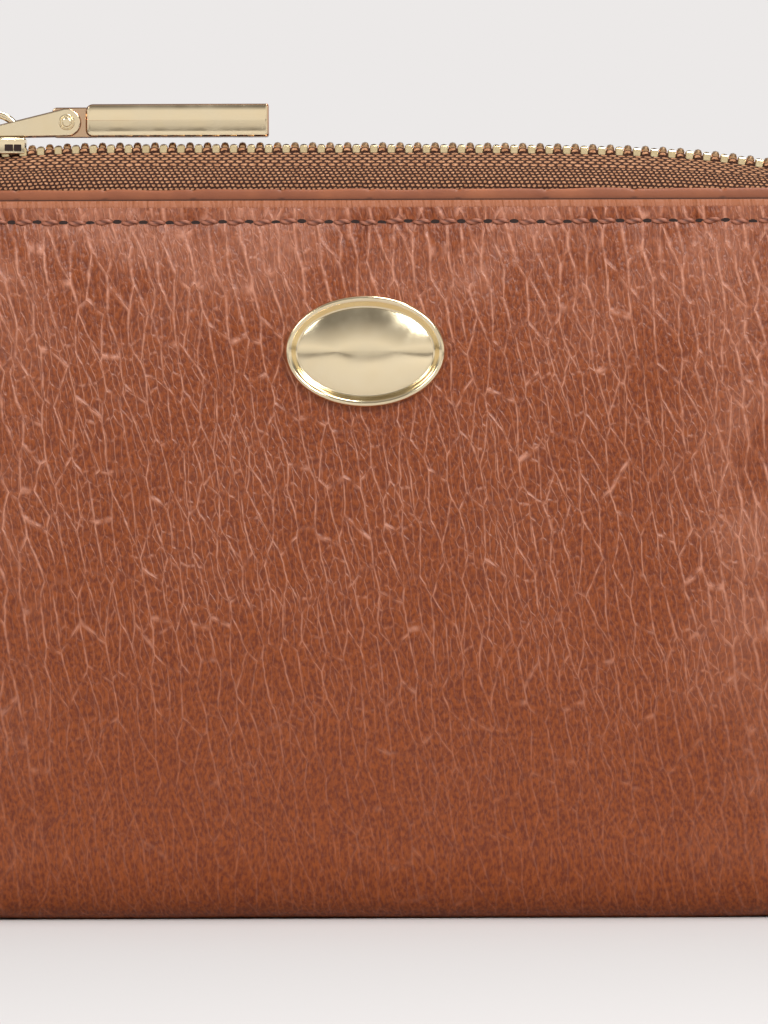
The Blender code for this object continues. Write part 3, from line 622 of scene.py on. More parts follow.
def slab_rings(outline: Array, low: float, high: float, edge: float, steps: int = 4) -> Array:
    """Rings of a flat slab with rounded edges, as (across, outline u, outline v).

    The outline is drawn in along its own inward direction as each quarter round
    reaches its face: in = edge (1 - cos a), out of the face by edge (1 - sin a).

    Args:
        outline: the closed outline, anticlockwise, an array of (count, 2).
        low: the lower face's place across the slab.
        high: the higher face's place.
        edge: the radius of the rounded edges.
        steps: how many steps each quarter round has.

    Returns:
        An array of (rings, count, 3).
    """
    ahead = np.roll(outline, -1, axis=0) - outline
    behind = outline - np.roll(outline, 1, axis=0)
    ahead /= np.linalg.norm(ahead, axis=1, keepdims=True)
    behind /= np.linalg.norm(behind, axis=1, keepdims=True)
    along = ahead + behind
    along /= np.linalg.norm(along, axis=1, keepdims=True)
    inward = np.stack([-along[:, 1], along[:, 0]], axis=1)
    turn = np.linspace(0.0, math.pi / 2, steps + 1)
    drawn = edge * (1 - np.sin(turn))
    place = edge * (1 - np.cos(turn))
    insets = np.concatenate([drawn, drawn[::-1]])
    places = np.concatenate([low + place, (high - place)[::-1]])
    flat = outline[None] + inward[None] * insets[:, None, None]
    across = np.broadcast_to(places[:, None, None], (*flat.shape[:2], 1))
    return np.concatenate([across, flat], axis=2)


def upright(rings: Array) -> Array:
    """Slab rings as points whose thickness runs along Y and whose outline is (x, z)."""
    return np.stack([rings[..., 1], rings[..., 0], rings[..., 2]], axis=-1)


def level(rings: Array) -> Array:
    """Slab rings as points whose thickness runs along Z and whose outline is (x, y)."""
    return np.stack([rings[..., 1], rings[..., 2], rings[..., 0]], axis=-1)


def arc(centre: Pair, radius: float, start: float, end: float, steps: int) -> Array:
    """Points on an arc between two angles in degrees, as an array of (steps + 1, 2)."""
    turn = np.radians(np.linspace(start, end, steps + 1))
    return np.stack([centre[0] + radius * np.cos(turn), centre[1] + radius * np.sin(turn)], axis=1)


def rounded_box(low: Sequence[float], high: Sequence[float], radii: Sequence[float], steps: int = 5) -> Array:
    """A rectangle's outline with its own radius at each corner, anticlockwise from the lower right."""
    (x0, y0), (x1, y1) = low, high
    right_low, right_high, left_high, left_low = radii
    return np.concatenate(
        [
            arc((x1 - right_low, y0 + right_low), right_low, -90, 0, steps),
            arc((x1 - right_high, y1 - right_high), right_high, 0, 90, steps),
            arc((x0 + left_high, y1 - left_high), left_high, 90, 180, steps),
            arc((x0 + left_low, y0 + left_low), left_low, 180, 270, steps),
        ]
    )


def join(solids: Sequence[Faceted]) -> Faceted:
    """Puts several solids' points and faces together in one mesh's lists."""
    points, faces, first = [], [], 0
    for some, their in solids:
        flat = np.asarray(some).reshape(-1, 3)
        points.append(flat)
        faces += [[first + i for i in face] for face in their]
        first += len(flat)
    return np.concatenate(points), faces


def round_pin(centre: Pair, radius: float, low: float, high: float, edge: float) -> Faceted:
    """A pin along Y with rounded ends, as points and faces."""
    return solid(upright(slab_rings(arc(centre, radius, 0, 360, 32)[:-1], low, high, edge)))


def repeated(unit: Array, faces: List[List[int]], axes: Array, places: Array) -> Faceted:
    """Copies of one small solid, each turned to its own axes and put in its own place.

    Args:
        unit: the solid's points, an array of (points, 3).
        faces: its faces.
        axes: for each copy, its three axes as rows, an array of (copies, 3, 3).
        places: for each copy, its origin, an array of (copies, 3).

    Returns:
        The points and faces of all the copies.
    """
    points = np.einsum("pi,cij->cpj", unit, axes) + places[:, None, :]
    shifts = np.arange(len(places)) * len(unit)
    every = [[int(s) + i for i in face] for s in shifts for face in faces]
    return points.reshape(-1, 3), every


def wander(u: Array, v: Array, reach: float, seed: int, waves: int = 5) -> Array:
    """A smooth wandering value: a sum of waves in random directions, each with a random start.

    Args:
        u: first coordinate of each point.
        v: second coordinate.
        reach: the waves' mean length.
        seed: which set of waves.
        waves: how many are added.

    Returns:
        The value at each point, about -1 to 1.
    """
    random = np.random.default_rng(seed)
    total = np.zeros(np.broadcast(u, v).shape)
    for _ in range(waves):
        turn = random.uniform(0, math.tau)
        start = random.uniform(0, math.tau)
        stretch = random.uniform(0.6, 1.6)
        total += np.sin(math.tau * (u * math.cos(turn) + v * math.sin(turn)) / (reach * stretch) + start)
    return total / math.sqrt(waves)


def cell_borders(u: Array, v: Array, cell: Pair, lean: float, seed: int) -> Array:
    """How near each point is to a border between random long cells, 0 on a border.

    Each square of a grid holds one random seed point. The value is the distance to the
    second nearest seed less that to the nearest, in cells.

    Args:
        u: first coordinate of each point.
        v: second coordinate.
        cell: a cell's width and height.
        lean: the cells' lean from upright, in degrees.
        seed: which set of seed points.

    Returns:
        The value at each point.
    """
    turn = math.radians(lean)
    p = (u * math.cos(turn) - v * math.sin(turn)) / cell[0]
    q = (u * math.sin(turn) + v * math.cos(turn)) / cell[1]
    column, row = np.floor(p).astype(int), np.floor(q).astype(int)
    span = 1024
    offsets = np.random.default_rng(seed).uniform(0.05, 0.95, (span, span, 2))
    nearest = np.full(p.shape, 9.0)
    second = np.full(p.shape, 9.0)
    for i in (-1, 0, 1):
        for j in (-1, 0, 1):
            a, b = (column + i) % span, (row + j) % span
            gap = np.hypot(column + i + offsets[a, b, 0] - p, row + j + offsets[a, b, 1] - q)
            second = np.minimum(second, np.maximum(nearest, gap))
            nearest = np.minimum(nearest, gap)
    return second - nearest


# ---------------------------------------------------------------- the wallet's edge


@dataclass
class ZipEdge:
    """The covers' zipped edge and the chain that follows it, from the left end round to the foot."""

    left: float
    right: float
    top: float
    foot: float
    corner: float = 7.0 * MM
    rise_high: float = 6.6 * MM
    rise_corner: float = 3.9 * MM
    corner_ease: float = 12.5 * MM
    rise_end: float = 1.0 * MM
    end_ease: float = 2.6 * MM
    slider_dip: float = 0.5 * MM
    slider_from_left: float = 10.1 * MM
    slider_reach: float = 8.0 * MM

    def __post_init__(self) -> None:
        """Works out the lengths of the edge's three stretches."""
        self.run = self.right - self.left - self.corner
        self.bend = self.corner * math.pi / 2
        self.length = self.run + self.bend + self.top - self.corner - self.foot

    def at(self, s: Array) -> Tuple[Array, Array, Array, Array]:
        """The edge at distances along it: x, z and the outward direction."""
        turn = np.clip((s - self.run) / self.corner, 0.0, math.pi / 2)
        down = np.maximum(s - self.run - self.bend, 0.0)
        x = self.left + np.minimum(s, self.run) + self.corner * np.sin(turn)
        z = self.top - self.corner * (1 - np.cos(turn)) - down
        return x, z, np.sin(turn), np.cos(turn)

    def rise(self, s: Array) -> Array:
        """How far the chain stands outside the edge: high on the straights, low at the corner and ends."""
        away = np.abs(s - self.run - self.bend / 2) ** 2
        rise = self.rise_corner + (self.rise_high - self.rise_corner) * away / (away + self.corner_ease**2)
        rise = rise - self.slider_dip * np.exp(-(((s - self.slider_from_left) / self.slider_reach) ** 2))
        for gap in (np.maximum(s, 0.0), np.maximum(self.length - s, 0.0)):
            rise = self.rise_end + (rise - self.rise_end) * gap**4 / (gap**4 + self.end_ease**4)
        return rise

    def place(self, s: Array, depth: Array, height: Array) -> Array:
        """Points from the distance along the edge, the y, and the height outside the edge."""
        x, z, out_x, out_z = self.at(s)
        return np.stack(np.broadcast_arrays(x + out_x * height, depth, z + out_z * height), axis=-1)

    def chain(self, distances: Array) -> Tuple[Array, Array]:
        """The chain's middle line at distances along it.

        Args:
            distances: lengths along the chain from its left end.

        Returns:
            The places, (count, 3), and the axes, (count, 3, 3): along, y, and outwards.
        """
        s = np.linspace(0.0, self.length, 2400)
        line = self.place(s, np.zeros_like(s), self.rise(s))
        along = np.concatenate([[0.0], np.cumsum(np.linalg.norm(np.diff(line, axis=0), axis=1))])
        step = 0.3 * MM
        spots = [
            np.stack([np.interp(distances + d, along, line[:, i]) for i in range(3)], axis=-1)
            for d in (0.0, step, -step)
        ]
        forward = spots[1] - spots[2]
        forward /= np.linalg.norm(forward, axis=1, keepdims=True)
        outward = np.stack([-forward[:, 2], np.zeros(len(forward)), forward[:, 0]], axis=1)
        across = np.broadcast_to(np.array([0.0, 1.0, 0.0]), forward.shape)
        return spots[0], np.stack([forward, across, outward], axis=1)

    def chain_distance(self, s: float) -> float:
        """The length along the chain at a distance along the edge."""
        steps = np.linspace(0.0, s, 1200)
        line = self.place(steps, np.zeros_like(steps), self.rise(steps))
        return float(np.linalg.norm(np.diff(line, axis=0), axis=1).sum())


# ---------------------------------------------------------------- covers


@dataclass
class Hide:
    """The one piece of grained leather that makes both covers and the folded bottom.

    Its creases are pulled smooth towards the fold, and their painted highlight and the painted sheen fade
    there too, which "milled" says.
    """

    material: bpy.types.Material
    edge: ZipEdge
    depth: float
    thickness: float = 1.0 * MM
    fold: float = 5.5 * MM
    fold_tall: float = 9.0 * MM
    closed_corner: float = 2.5 * MM
    front_step: float = 0.4 * MM
    fold_step: float = 0.7 * MM
    back_step: float = 0.85 * MM
    column_step: float = 0.42 * MM
    rim_round: float = 0.9 * MM
    rim_drop: float = 0.6 * MM
    seam_inset: float = 2.7 * MM
    seam_depth: float = 0.16 * MM
    pillow: float = 0.3 * MM
    pillow_reach: float = 9.0 * MM
    camber: float = 0.75 * MM
    crease_depth: float = 0.035 * MM
    crease_cell: Pair = (2.3 * MM, 8.5 * MM)
    crease_width: float = 0.16
    near_edge: Tuple[float, ...] = (0.0, 0.04, 0.1, 0.18, 0.28, 0.4, 0.54, 0.7, 0.84, 0.94, 1.1, 1.35)

    def girth(self, v: Array) -> Tuple[Array, Array, Array, Array]:
        """The hide's section from the front's top edge, under the fold, to the back's top edge.

        Args:
            v: distances along the section.

        Returns:
            y, z and the outward direction's y and z at each distance.
        """
        face, quarter, flat = self.face_run, self.quarter_run, self.depth - 2 * self.fold
        first = np.clip((v - face) / quarter, 0, 1)
        base = np.clip(v - face - quarter, 0, flat)
        second = np.clip((v - face - quarter - flat) / quarter, 0, 1)
        up = np.maximum(v - face - 2 * quarter - flat, 0)
        turn = (first + second) * math.pi / 2
        y = -self.depth / 2 + self.fold + base - self.fold * np.cos(turn)
        z = np.where(v < face, self.edge.top - v, self.fold_tall * (1 - np.sin(turn)) + up)
        out_y, out_z = -np.cos(turn) * self.fold_tall, -np.sin(turn) * self.fold
        size = np.hypot(out_y, out_z)
        return y, z, out_y / size, out_z / size

    @property
    def face_run(self) -> float:
        """The height of a cover's flat face."""
        return self.edge.top - self.fold_tall

    @property
    def quarter_run(self) -> float:
        """The length round one quarter of the fold."""
        return (self.fold + self.fold_tall) / 2 * math.pi / 2

    def length(self) -> float:
        """The section's whole length."""
        return 2 * self.face_run + 2 * self.quarter_run + self.depth - 2 * self.fold

    def outline(self, z: Array) -> Tuple[Array, Array]:
        """The left and right ends of the hide at a height, inside its rounded corners."""
        ends = []
        for radius in (self.closed_corner, self.edge.corner):
            over = np.clip(z - (self.edge.top - radius), 0, radius)
            ends.append(radius - np.sqrt(np.maximum(radius**2 - over**2, 0)))
        return self.edge.left + ends[0], self.edge.right - ends[1]

    def from_edge(self, x: Array, z: Array, folded: Array) -> Array:
        """The distance from the nearest cut edge; on the folded part only the two ends count."""
        distance = np.minimum(x - self.edge.left, self.edge.right - x)
        top = np.where(folded, 1.0, self.edge.top - z)
        distance = np.minimum(distance, top)
        corner_x, corner_z = self.edge.right - self.edge.corner, self.edge.top - self.edge.corner
        in_corner = (x > corner_x) & (z > corner_z)
        round_gap = self.edge.corner - np.hypot(x - corner_x, z - corner_z)
        return np.maximum(np.where(in_corner, round_gap, distance), 0.0)

    def rows(self) -> Array:
        """Distances of the rows of points along the section, close together at both top edges."""
        face = self.face_run
        near = np.array(self.near_edge) * MM
        front = np.arange(near[-1] + self.front_step, face, self.front_step)
        start_back = self.length() - face
        fold = np.arange(face, start_back, self.fold_step)
        back = np.arange(start_back, self.length() - near[-1], self.back_step)
        return np.concatenate([near, front, fold, back, self.length() - near[::-1]])

    def height(self, x: Array, v: Array, gap: Array) -> Array:
        """How far the grain side stands from the flat.

        The rim is rounded off, the seam pulls a groove, the rest swells softly from the
        seam and crowns as a parabola up the cover, and long creases dip into it.

        Args:
            x: place across the hide.
            v: distance along its section.
            gap: distance from its nearest cut edge.

        Returns:
            The height at each point.
        """
        rim = np.clip(1 - gap / self.rim_round, 0, 1)
        rim = self.rim_drop * (1 - np.sqrt(1 - rim**2))
        groove = self.seam_depth * np.exp(-(((gap - self.seam_inset) / (0.5 * MM)) ** 2))
        hollow = self.pillow * np.exp(-np.maximum(gap - self.seam_inset, 0) / self.pillow_reach)
        wide, tall = 1.1 * MM * wander(x, v, 14 * MM, 3), 1.5 * MM * wander(x, v, 16 * MM, 5)
        border = cell_borders(x + wide, v + tall, self.crease_cell, 12.0, 11)
        strength = 0.6 + 0.4 * wander(x, v, 25 * MM, 8)
        crease = self.crease_depth * np.exp(-((border / self.crease_width) ** 2)) * strength
        crease = crease * np.clip(gap / MM - 1.0, 0, 1)
        soft = 0.1 * MM * wander(x, v, 26 * MM, 21) * np.clip(gap / (8 * MM), 0, 1)
        up = (np.minimum(v, self.length() - v) - self.face_run / 2) / (self.face_run / 2)
        camber = self.camber * (1 - np.minimum(up**2, 1.0))
        return camber - rim - groove - hollow - crease + soft

    def build(self) -> bpy.types.Object:
        """Builds the hide as rings across it, each with a fine grain side and a plain flesh side."""
        v = self.rows()[:, None]
        y, z, out_y, out_z = self.girth(v)
        folded = z < self.fold_tall * 1.001
        left, right = self.outline(z)
        near = np.array(self.near_edge[:-2]) * MM
        middle = int((self.edge.right - self.edge.left) / self.column_step)
        share = np.linspace(0, 1, middle)[None, :]
        inner = left + near[-1] + share * (right - left - 2 * near[-1])
        x = np.concatenate([left + near[None, :-1], inner, right - near[None, :-1][:, ::-1]], axis=1)
        gap = self.from_edge(x, z, folded)
        lift = self.height(x, v, gap)
        grain = np.stack([x, y + out_y * lift, z + out_z * lift], axis=-1)
        back_share = np.linspace(1, 0, 14)[None, :]
        flesh_x = left + back_share * (right - left)
        shape = flesh_x.shape
        flesh = np.stack(
            [
                flesh_x,
                np.broadcast_to(y - out_y * self.thickness, shape),
                np.broadcast_to(z - out_z * self.thickness, shape),
            ],
            axis=-1,
        )
        rings = np.concatenate([grain, flesh], axis=1)
        uv = np.stack(
            [np.concatenate([x, flesh_x], axis=1), np.broadcast_to(v, rings.shape[:2])], axis=-1
        ).reshape(-1, 2)
        flesh_gap = np.full(shape, 9.0 * MM)
        flesh_gap[:, 0] = flesh_gap[:, -1] = 0.0
        edge_mm = np.concatenate([gap, flesh_gap], axis=1).ravel() / MM
        # towards the fold the crease relief fades, and with it the painted crease highlight and sheen
        rise = np.clip((z - 10 * MM) / (45 * MM), 0, 1) * np.ones(rings.shape[:2])
        milled = 0.22 + 0.78 * rise**2 * (3 - 2 * rise)
        made = piece(
            "leather_hide",
            *solid(rings),
            self.material,
            ("hide", uv),
            {"edge_mm": edge_mm, "milled": milled},
            sharp=60.0,
        )
        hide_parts("front_leather", "back_leather", "bottom_leather")
        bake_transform(made)
        self.length()
        return made


@dataclass
class Facing:
    """The smooth strip behind a cover's zipped edges, which the zip is sewn to."""

    side: Side
    material: bpy.types.Material
    edge: ZipEdge
    outer: float
    thickness: float = 0.7 * MM
    proud: float = 1.45 * MM
    band: float = 6.0 * MM
    step: float = 0.5 * MM
    notch_every: float = 11.0 * MM
    notch_first: float = 3.1 * MM
    notch_depth: float = 0.16 * MM
    notch_half: float = 0.28 * MM

    def from_notch(self, s: Array) -> Array:
        """The distance along the edge from the nearest notch, less than 0 before it."""
        return (s - self.notch_first + self.notch_every / 2) % self.notch_every - self.notch_every / 2

    def build(self) -> bpy.types.Object:
        """Sweeps the strip's section, with a rounded top edge, along the zipped edge.

        The top edge dips a little where its inner seam pulls it in, and painted shade darkens
        the strip beside the cover's leather and in those dips.
        """
        s = np.arange(0.0, self.edge.length, self.step)
        beside = s[np.abs(self.from_notch(s)) < self.step]
        s = np.unique(np.concatenate([s, beside - 0.2 * MM, beside + 0.2 * MM]))
        s = np.clip(s, 0.0, self.edge.length)[:, None]
        nick = self.notch_depth * np.exp(-((self.from_notch(s) / self.notch_half) ** 2))
        half = self.thickness / 2
        turn = np.linspace(0, math.pi, 9)[None, :]
        side = np.full((1, 6), half)
        depth = np.concatenate([side, half * np.cos(turn), -side], axis=1)
        top = self.proud - half - nick + 0.05 * MM * wander(s, 0 * s, 9 * MM, 4)
        low = np.array([[-self.band, -0.6 * MM, 0.0, 0.14 * MM, 0.27 * MM, 0.52 * MM]])
        height = np.concatenate([low + 0 * s, top + half * np.sin(turn), low[:, ::-1] + 0 * s], axis=1)
        middle = self.outer - half
        points = self.edge.place(s, self.side.value * (middle + depth + 0 * height), height)
        # painted shade: darkest just above the cover's leather and in the dips
        crevice = np.clip(1 - (height - 0.17 * MM) / (0.12 * MM + 1.6 * nick), 0, 1)
        made = piece(
            f"{self.side.word}_facing_strip",
            *solid(points),
            self.material,
            numbers={"crevice": crevice * 0.9},
            sharp=50.0,
        )
        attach(made, self.side.body)
        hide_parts(f"{self.side.word}_facing")
        return made


@dataclass
class Seam:
    """The row of stitches round a cover's cut edges, and the needle holes between them."""

    side: Side
    thread: bpy.types.Material
    hole: bpy.types.Material
    hide: Hide
    pitch: float = 3.3 * MM
    stitch: float = 2.45 * MM
    radius: float = 0.31 * MM
    slant: float = 5.0
    low: float = 8.5 * MM
    sides: int = 10
    stations: int = 9

    def path(self) -> Tuple[Array, Array]:
        """The seam's line and its direction at each stitch, as (x, z) pairs."""
        edge, inset = self.hide.edge, self.hide.seam_inset
        up = edge.top - inset - self.low
        across = edge.run - inset
        radius = edge.corner - inset
        round_length = radius * math.pi / 2
        down = edge.top - edge.corner - self.low
        total = up + across + round_length + down
        d = np.arange(self.pitch / 2, total, self.pitch)
        turn = np.clip((d - up - across) / radius, 0, math.pi / 2)
        x = edge.left + inset + np.clip(d - up, 0, across) + radius * np.sin(turn)
        fallen = np.maximum(d - up - across - round_length, 0)
        z = self.low + np.minimum(d, up) - radius * (1 - np.cos(turn)) - fallen
        on_left = d < up
        heading = [np.where(on_left, 0.0, np.cos(turn)), np.where(on_left, 1.0, -np.sin(turn))]
        return np.stack([x, z], axis=1), np.stack(heading, axis=1)

    def stitch_unit(self) -> Tuple[Array, List[List[int]], Array]:
        """One stitch: two twisted plies that dive into the leather at both ends.

        The radius swells twice round the thread, and the swelling turns along it:
        r = radius (1 + 0.26 cos 2(angle - twist)).

        Returns:
            Points, faces, and for each point 1 on top of a ply and 0 between the plies, where the painted
            shade is full.
        """
        t = np.linspace(-1, 1, self.stations)[:, None]
        angle = np.linspace(0, math.tau, self.sides, endpoint=False)[None, :]
        swell = np.cos(2 * (angle - 2.6 * t))
        taper = np.sqrt(np.clip(1 - 0.7 * np.abs(t) ** 6, 0, 1))
        radius = self.radius * taper * (1 + 0.26 * swell)
        dive = -0.42 * MM * np.abs(t) ** 4
        along = t * self.stitch / 2 + 0 * angle
        rings = np.stack([along, radius * np.cos(angle), dive + radius * np.sin(angle) * 0.85], axis=-1)
        points, faces = solid(rings)
        # painted shade between the plies and where the stitch dives into its hole
        ply = np.clip(0.5 + 0.6 * swell, 0, 1) * (1 - 0.8 * np.abs(t) ** 5)
        return points, faces, ply.ravel()

    def hole_unit(self) -> Faceted:
        """One needle hole: a shallow oval cup, painted near-black as the shade inside the hole."""
        rings = slab_rings(arc((0, 0), 0.5, 0, 360, 10)[:-1], -0.2 * MM, 0.05 * MM, 0.02 * MM, 2)
        rings[..., 1] *= 1.15 * MM
        rings[..., 2] *= 0.55 * MM
        return solid(level(rings))

    def frames(self, places: Array, heading: Array, slant: float, lift: float) -> Tuple[Array, Array]:
        """Axes and places on the cover's face for shapes that lie along the seam, a little uneven by hand."""
        out = np.array([0.0, float(self.side.value), 0.0])
        turn = math.radians(slant) * -self.side.value
        c, s = math.cos(turn), math.sin(turn)
        random = np.random.default_rng(len(places))
        places = places + random.normal(0.0, 0.05 * MM, places.shape)
        heading = heading + random.normal(0.0, 0.04, heading.shape)
        heading /= np.linalg.norm(heading, axis=1, keepdims=True)
        x, z = heading[:, 0], heading[:, 1]
        forward = np.stack([c * x - s * z, 0 * x, s * x + c * z], axis=1)
        outs = np.broadcast_to(out, forward.shape)
        across = np.cross(outs, forward)
        from_top = self.hide.edge.top - places[:, 1]
        v = from_top if self.side is Side.FRONT else self.hide.length() - from_top
        gap = np.full(len(places), self.hide.seam_inset)
        face = self.hide.depth / 2 + self.hide.height(places[:, 0], v, gap) + lift
        origins = np.stack([places[:, 0], self.side.value * face, places[:, 1]], axis=1)
        return np.stack([forward, across, outs], axis=1), origins

    def build(self) -> List[bpy.types.Object]:
        """Lays the stitches and the holes along the seam."""
        places, heading = self.path()
        unit, faces, ply = self.stitch_unit()
        points, every = repeated(unit, faces, *self.frames(places, heading, self.slant, 0.16 * MM))
        numbers = {"ply": np.tile(ply, len(places))}
        name = f"{self.side.word}_stitches"
        stitches = piece(name, points, every, self.thread, numbers=numbers, sharp=80.0)
        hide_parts(f"{self.side.word}_seam_thread")
        # painted shade: near-black cups stand for the shade in the needle holes
        unit, faces = self.hole_unit()
        between = places + heading * self.pitch / 2
        points, every = repeated(unit, faces, *self.frames(between, heading, 0.0, 0.0))
        holes = piece(f"{self.side.word}_needle_holes", points, every, self.hole)
        for made in (stitches, holes):
            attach(made, self.side.body)
        return [stitches, holes]


# ---------------------------------------------------------------- zip


@dataclass
class Zip:
    """The zip: two woven tapes with corded edges, two rows of metal teeth, and the stops."""

    edge: ZipEdge
    tape: bpy.types.Material
    metal: bpy.types.Material
    seam_depth: float = 7.55 * MM
    tape_seam: float = 5.0 * MM
    tape_start: float = 0.6 * MM
    tape_inner: float = 2.7 * MM
    tape_thickness: float = 0.4 * MM
    tooth_height: float = 1.6 * MM
    pitch: float = 2.2 * MM
    teeth_from_left: float = 7.6 * MM
    teeth_from_foot: float = 9.0 * MM
    cord_depth: float = 1.95 * MM
    cord_drop: float = 0.2 * MM
    cord_radius: float = 0.6 * MM
    lift: float = 0.28 * MM
    head: Pair = (0.7, 0.95)
    across_points: int = 22
    along_step: float = 0.55 * MM

    def tape_line(self, rise: Array) -> Tuple[Array, Array]:
        """The tape's middle line across its width: a straight seam allowance, then a curve to the teeth.

        The curve is a cubic from the seam, first straight up, that leans over and
        arrives at the teeth nearly level.

        Args:
            rise: the chain's height outside the edge, (count, 1).

        Returns:
            Depth from the middle plane and height outside the edge, (count, points).
        """
        end_height = rise - self.tooth_height / 4
        lift = end_height - self.tape_start
        t = np.linspace(0, 1, self.across_points)[None, :]
        weights = ((1 - t) ** 3, 3 * t * (1 - t) ** 2, 3 * t**2 * (1 - t), t**3)
        arrive = self.tape_inner + 0.4 * (self.seam_depth - self.tape_inner)
        depths = (self.seam_depth, self.seam_depth, arrive, self.tape_inner)
        start = self.tape_start + 0 * lift
        heights = (start, start + 0.45 * lift, end_height - 0.17 * lift, end_height)
        depth = sum(w * d for w, d in zip(weights, depths)) + 0 * rise
        height = sum(w * h for w, h in zip(weights, heights))
        seam = np.array([[-self.tape_seam, -self.tape_seam / 2]])
        depth = np.concatenate([self.seam_depth + 0 * seam + 0 * rise, depth], axis=1)
        return depth, np.concatenate([seam + 0 * rise, height], axis=1)

    def build_tape(self, side: Side) -> bpy.types.Object:
        """Builds one tape as a closed thin section swept along the zipped edge."""
        s = np.arange(0.0, self.edge.length, self.along_step)[:, None]
        depth, height = self.tape_line(self.edge.rise(s))
        slope_d, slope_h = np.gradient(depth, axis=1), np.gradient(height, axis=1)
        size = np.hypot(slope_d, slope_h)
        normal_d, normal_h = slope_h / size, -slope_d / size
        half = self.tape_thickness / 2
        steps = np.hypot(np.diff(depth, axis=1), np.diff(height, axis=1))
        width = np.concatenate([0 * s, np.cumsum(steps, axis=1)], axis=1)
        from_teeth = width[:, -1:] - width
        outer = self.edge.place(s, side.value * (depth + normal_d * half), height + normal_h * half)
        inner = self.edge.place(s, side.value * (depth - normal_d * half), height - normal_h * half)
        rings = np.concatenate([outer, inner[:, ::-1]], axis=1)
        across = np.concatenate([from_teeth, from_teeth[:, ::-1]], axis=1)
        along = np.broadcast_to(s, across.shape)
        uv = np.stack([along, across], axis=-1).reshape(-1, 2)
        made = piece(f"{side.word}_zip_tape", *solid(rings), self.tape, ("tape", uv))
        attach(made, side.body)
        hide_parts(f"zip_tape_{side.word}")
        return made

    def teeth_distances(self, side: Side) -> Array:
        """Distances along the chain of one row's teeth; the back row is half a pitch on."""
        first = self.edge.chain_distance(self.teeth_from_left)
        last = self.edge.chain_distance(self.edge.length - self.teeth_from_foot)
        shift = 0.2 if side is Side.FRONT else 0.7
        return first + (np.arange(int((last - first) / self.pitch)) + shift) * self.pitch

    def build_cord(self, side: Side) -> bpy.types.Object:
        """Builds the tape's corded edge, which bulges between the teeth that grip it."""
        teeth = self.teeth_distances(side)
        steps = 10
        d = np.linspace(teeth[0] - 2 * self.pitch, teeth[-1] + 1.5 * self.pitch, steps * (len(teeth) + 4))
        places, axes = self.edge.chain(d)
        bulge = 0.5 - 0.5 * np.cos(math.tau * (d - teeth[0]) / self.pitch)
        angle = np.linspace(0, math.tau, 14, endpoint=False)[None, :]
        radius = (self.cord_radius * (0.84 + 0.3 * bulge))[:, None]
        across = side.value * self.cord_depth + radius * np.cos(angle)
        out = radius * np.sin(angle) - self.cord_drop
        points = places[:, None] + axes[:, 1][:, None] * across[..., None]
        points = points + axes[:, 2][:, None] * out[..., None]
        uv = np.stack([np.broadcast_to(d[:, None], out.shape), radius * angle], axis=-1).reshape(-1, 2)
        made = piece(f"{side.word}_zip_cord", *solid(points), self.tape, ("tape", uv))
        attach(made, side.body)
        return made

    def tooth_unit(self, head: float) -> Tuple[Array, List[List[int]], Array]:
        """One tooth: square legs that grip the cord, a neck, and a round head past the middle.

        Each row gives, in millimetres, the place across the chain, the half length, the
        lowest and the highest point, and how square the section is: its points are
        x = half length |cos|^square and z = middle + half height |sin|^square.

        Args:
            head: the head's top above the chain's middle, in millimetres.

        Returns:
            Points, faces, and for each point its share of painted reflection, most on the head.
        """
        rows = np.array(
            [
                (2.72, 0.38, -0.66, 0.3, 0.25),
                (2.62, 0.46, -0.78, 0.4, 0.15),
                (1.3, 0.46, -0.8, 0.42, 0.15),
                (1.0, 0.36, -0.5, 0.4, 0.5),
                (0.66, 0.46, -0.45, 0.82 * head, 0.8),
                (0.2, 0.54, -0.45, head, 0.8),
                (-0.3, 0.5, -0.4, 0.88 * head, 0.8),
                (-0.5, 0.34, -0.2, 0.55 * head, 0.8),
            ]
        )
        across, half, low, high, square = (rows[:, i : i + 1] for i in range(5))
        angle = np.linspace(0, math.tau, 10, endpoint=False)[None, :] + math.tau / 20
        c, s = np.cos(angle), np.sin(angle)
        x = half * np.sign(c) * np.abs(c) ** square
        z = (low + high) / 2 + (high - low) / 2 * np.sign(s) * np.abs(s) ** square
        rings = np.stack([x, across + 0 * x, z], axis=-1) * MM
        rings[..., 2] += self.lift
        # painted reflection: the heads are tinted by the brown tape they would mirror
        shine = np.clip((1.1 - across) / 0.4, 0, 1) * 0.55 + 0 * x
        return (*solid(rings), shine.ravel())

    def build_teeth(self, side: Side) -> bpy.types.Object:
        """Builds one row of separate teeth along the chain."""
        unit, faces, shine = self.tooth_unit(self.head[0] if side is Side.FRONT else self.head[1])
        unit = unit * np.array([1.0, float(side.value), 1.0])
        places, axes = self.edge.chain(self.teeth_distances(side))
        points, every = repeated(unit, faces, axes, places)
        numbers = {"painted_reflection": np.tile(shine, len(places))}
        made = piece(f"{side.word}_zip_teeth", points, every, self.metal, numbers=numbers, sharp=32.0)
        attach(made, side.body)
        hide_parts(f"zip_teeth_{side.word}")
        return made

    def build_stop(self, node: str, body: str) -> bpy.types.Object:
        """Builds a stop: a small metal block bent round the cord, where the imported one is."""
        low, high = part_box(node)
        outline = rounded_box((low.x, low.z), (high.x, high.z), (0.3 * MM,) * 4, 4)
        points, faces = solid(upright(slab_rings(outline, low.y, high.y, 0.25 * MM)))
        made = piece(f"{node}_block", points, faces, self.metal)
        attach(made, body)
        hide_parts(node)
        return made

    def build(self) -> List[bpy.types.Object]:
        """Builds both halves of the zip and its stops."""
        made = []
        for side in Side:
            made += [self.build_tape(side), self.build_cord(side), self.build_teeth(side)]
            made.append(self.build_stop(f"top_stop_{side.word}", side.body))
        made.append(self.build_stop("bottom_stop", Side.BACK.body))
        return made


# ---------------------------------------------------------------- slider and puller


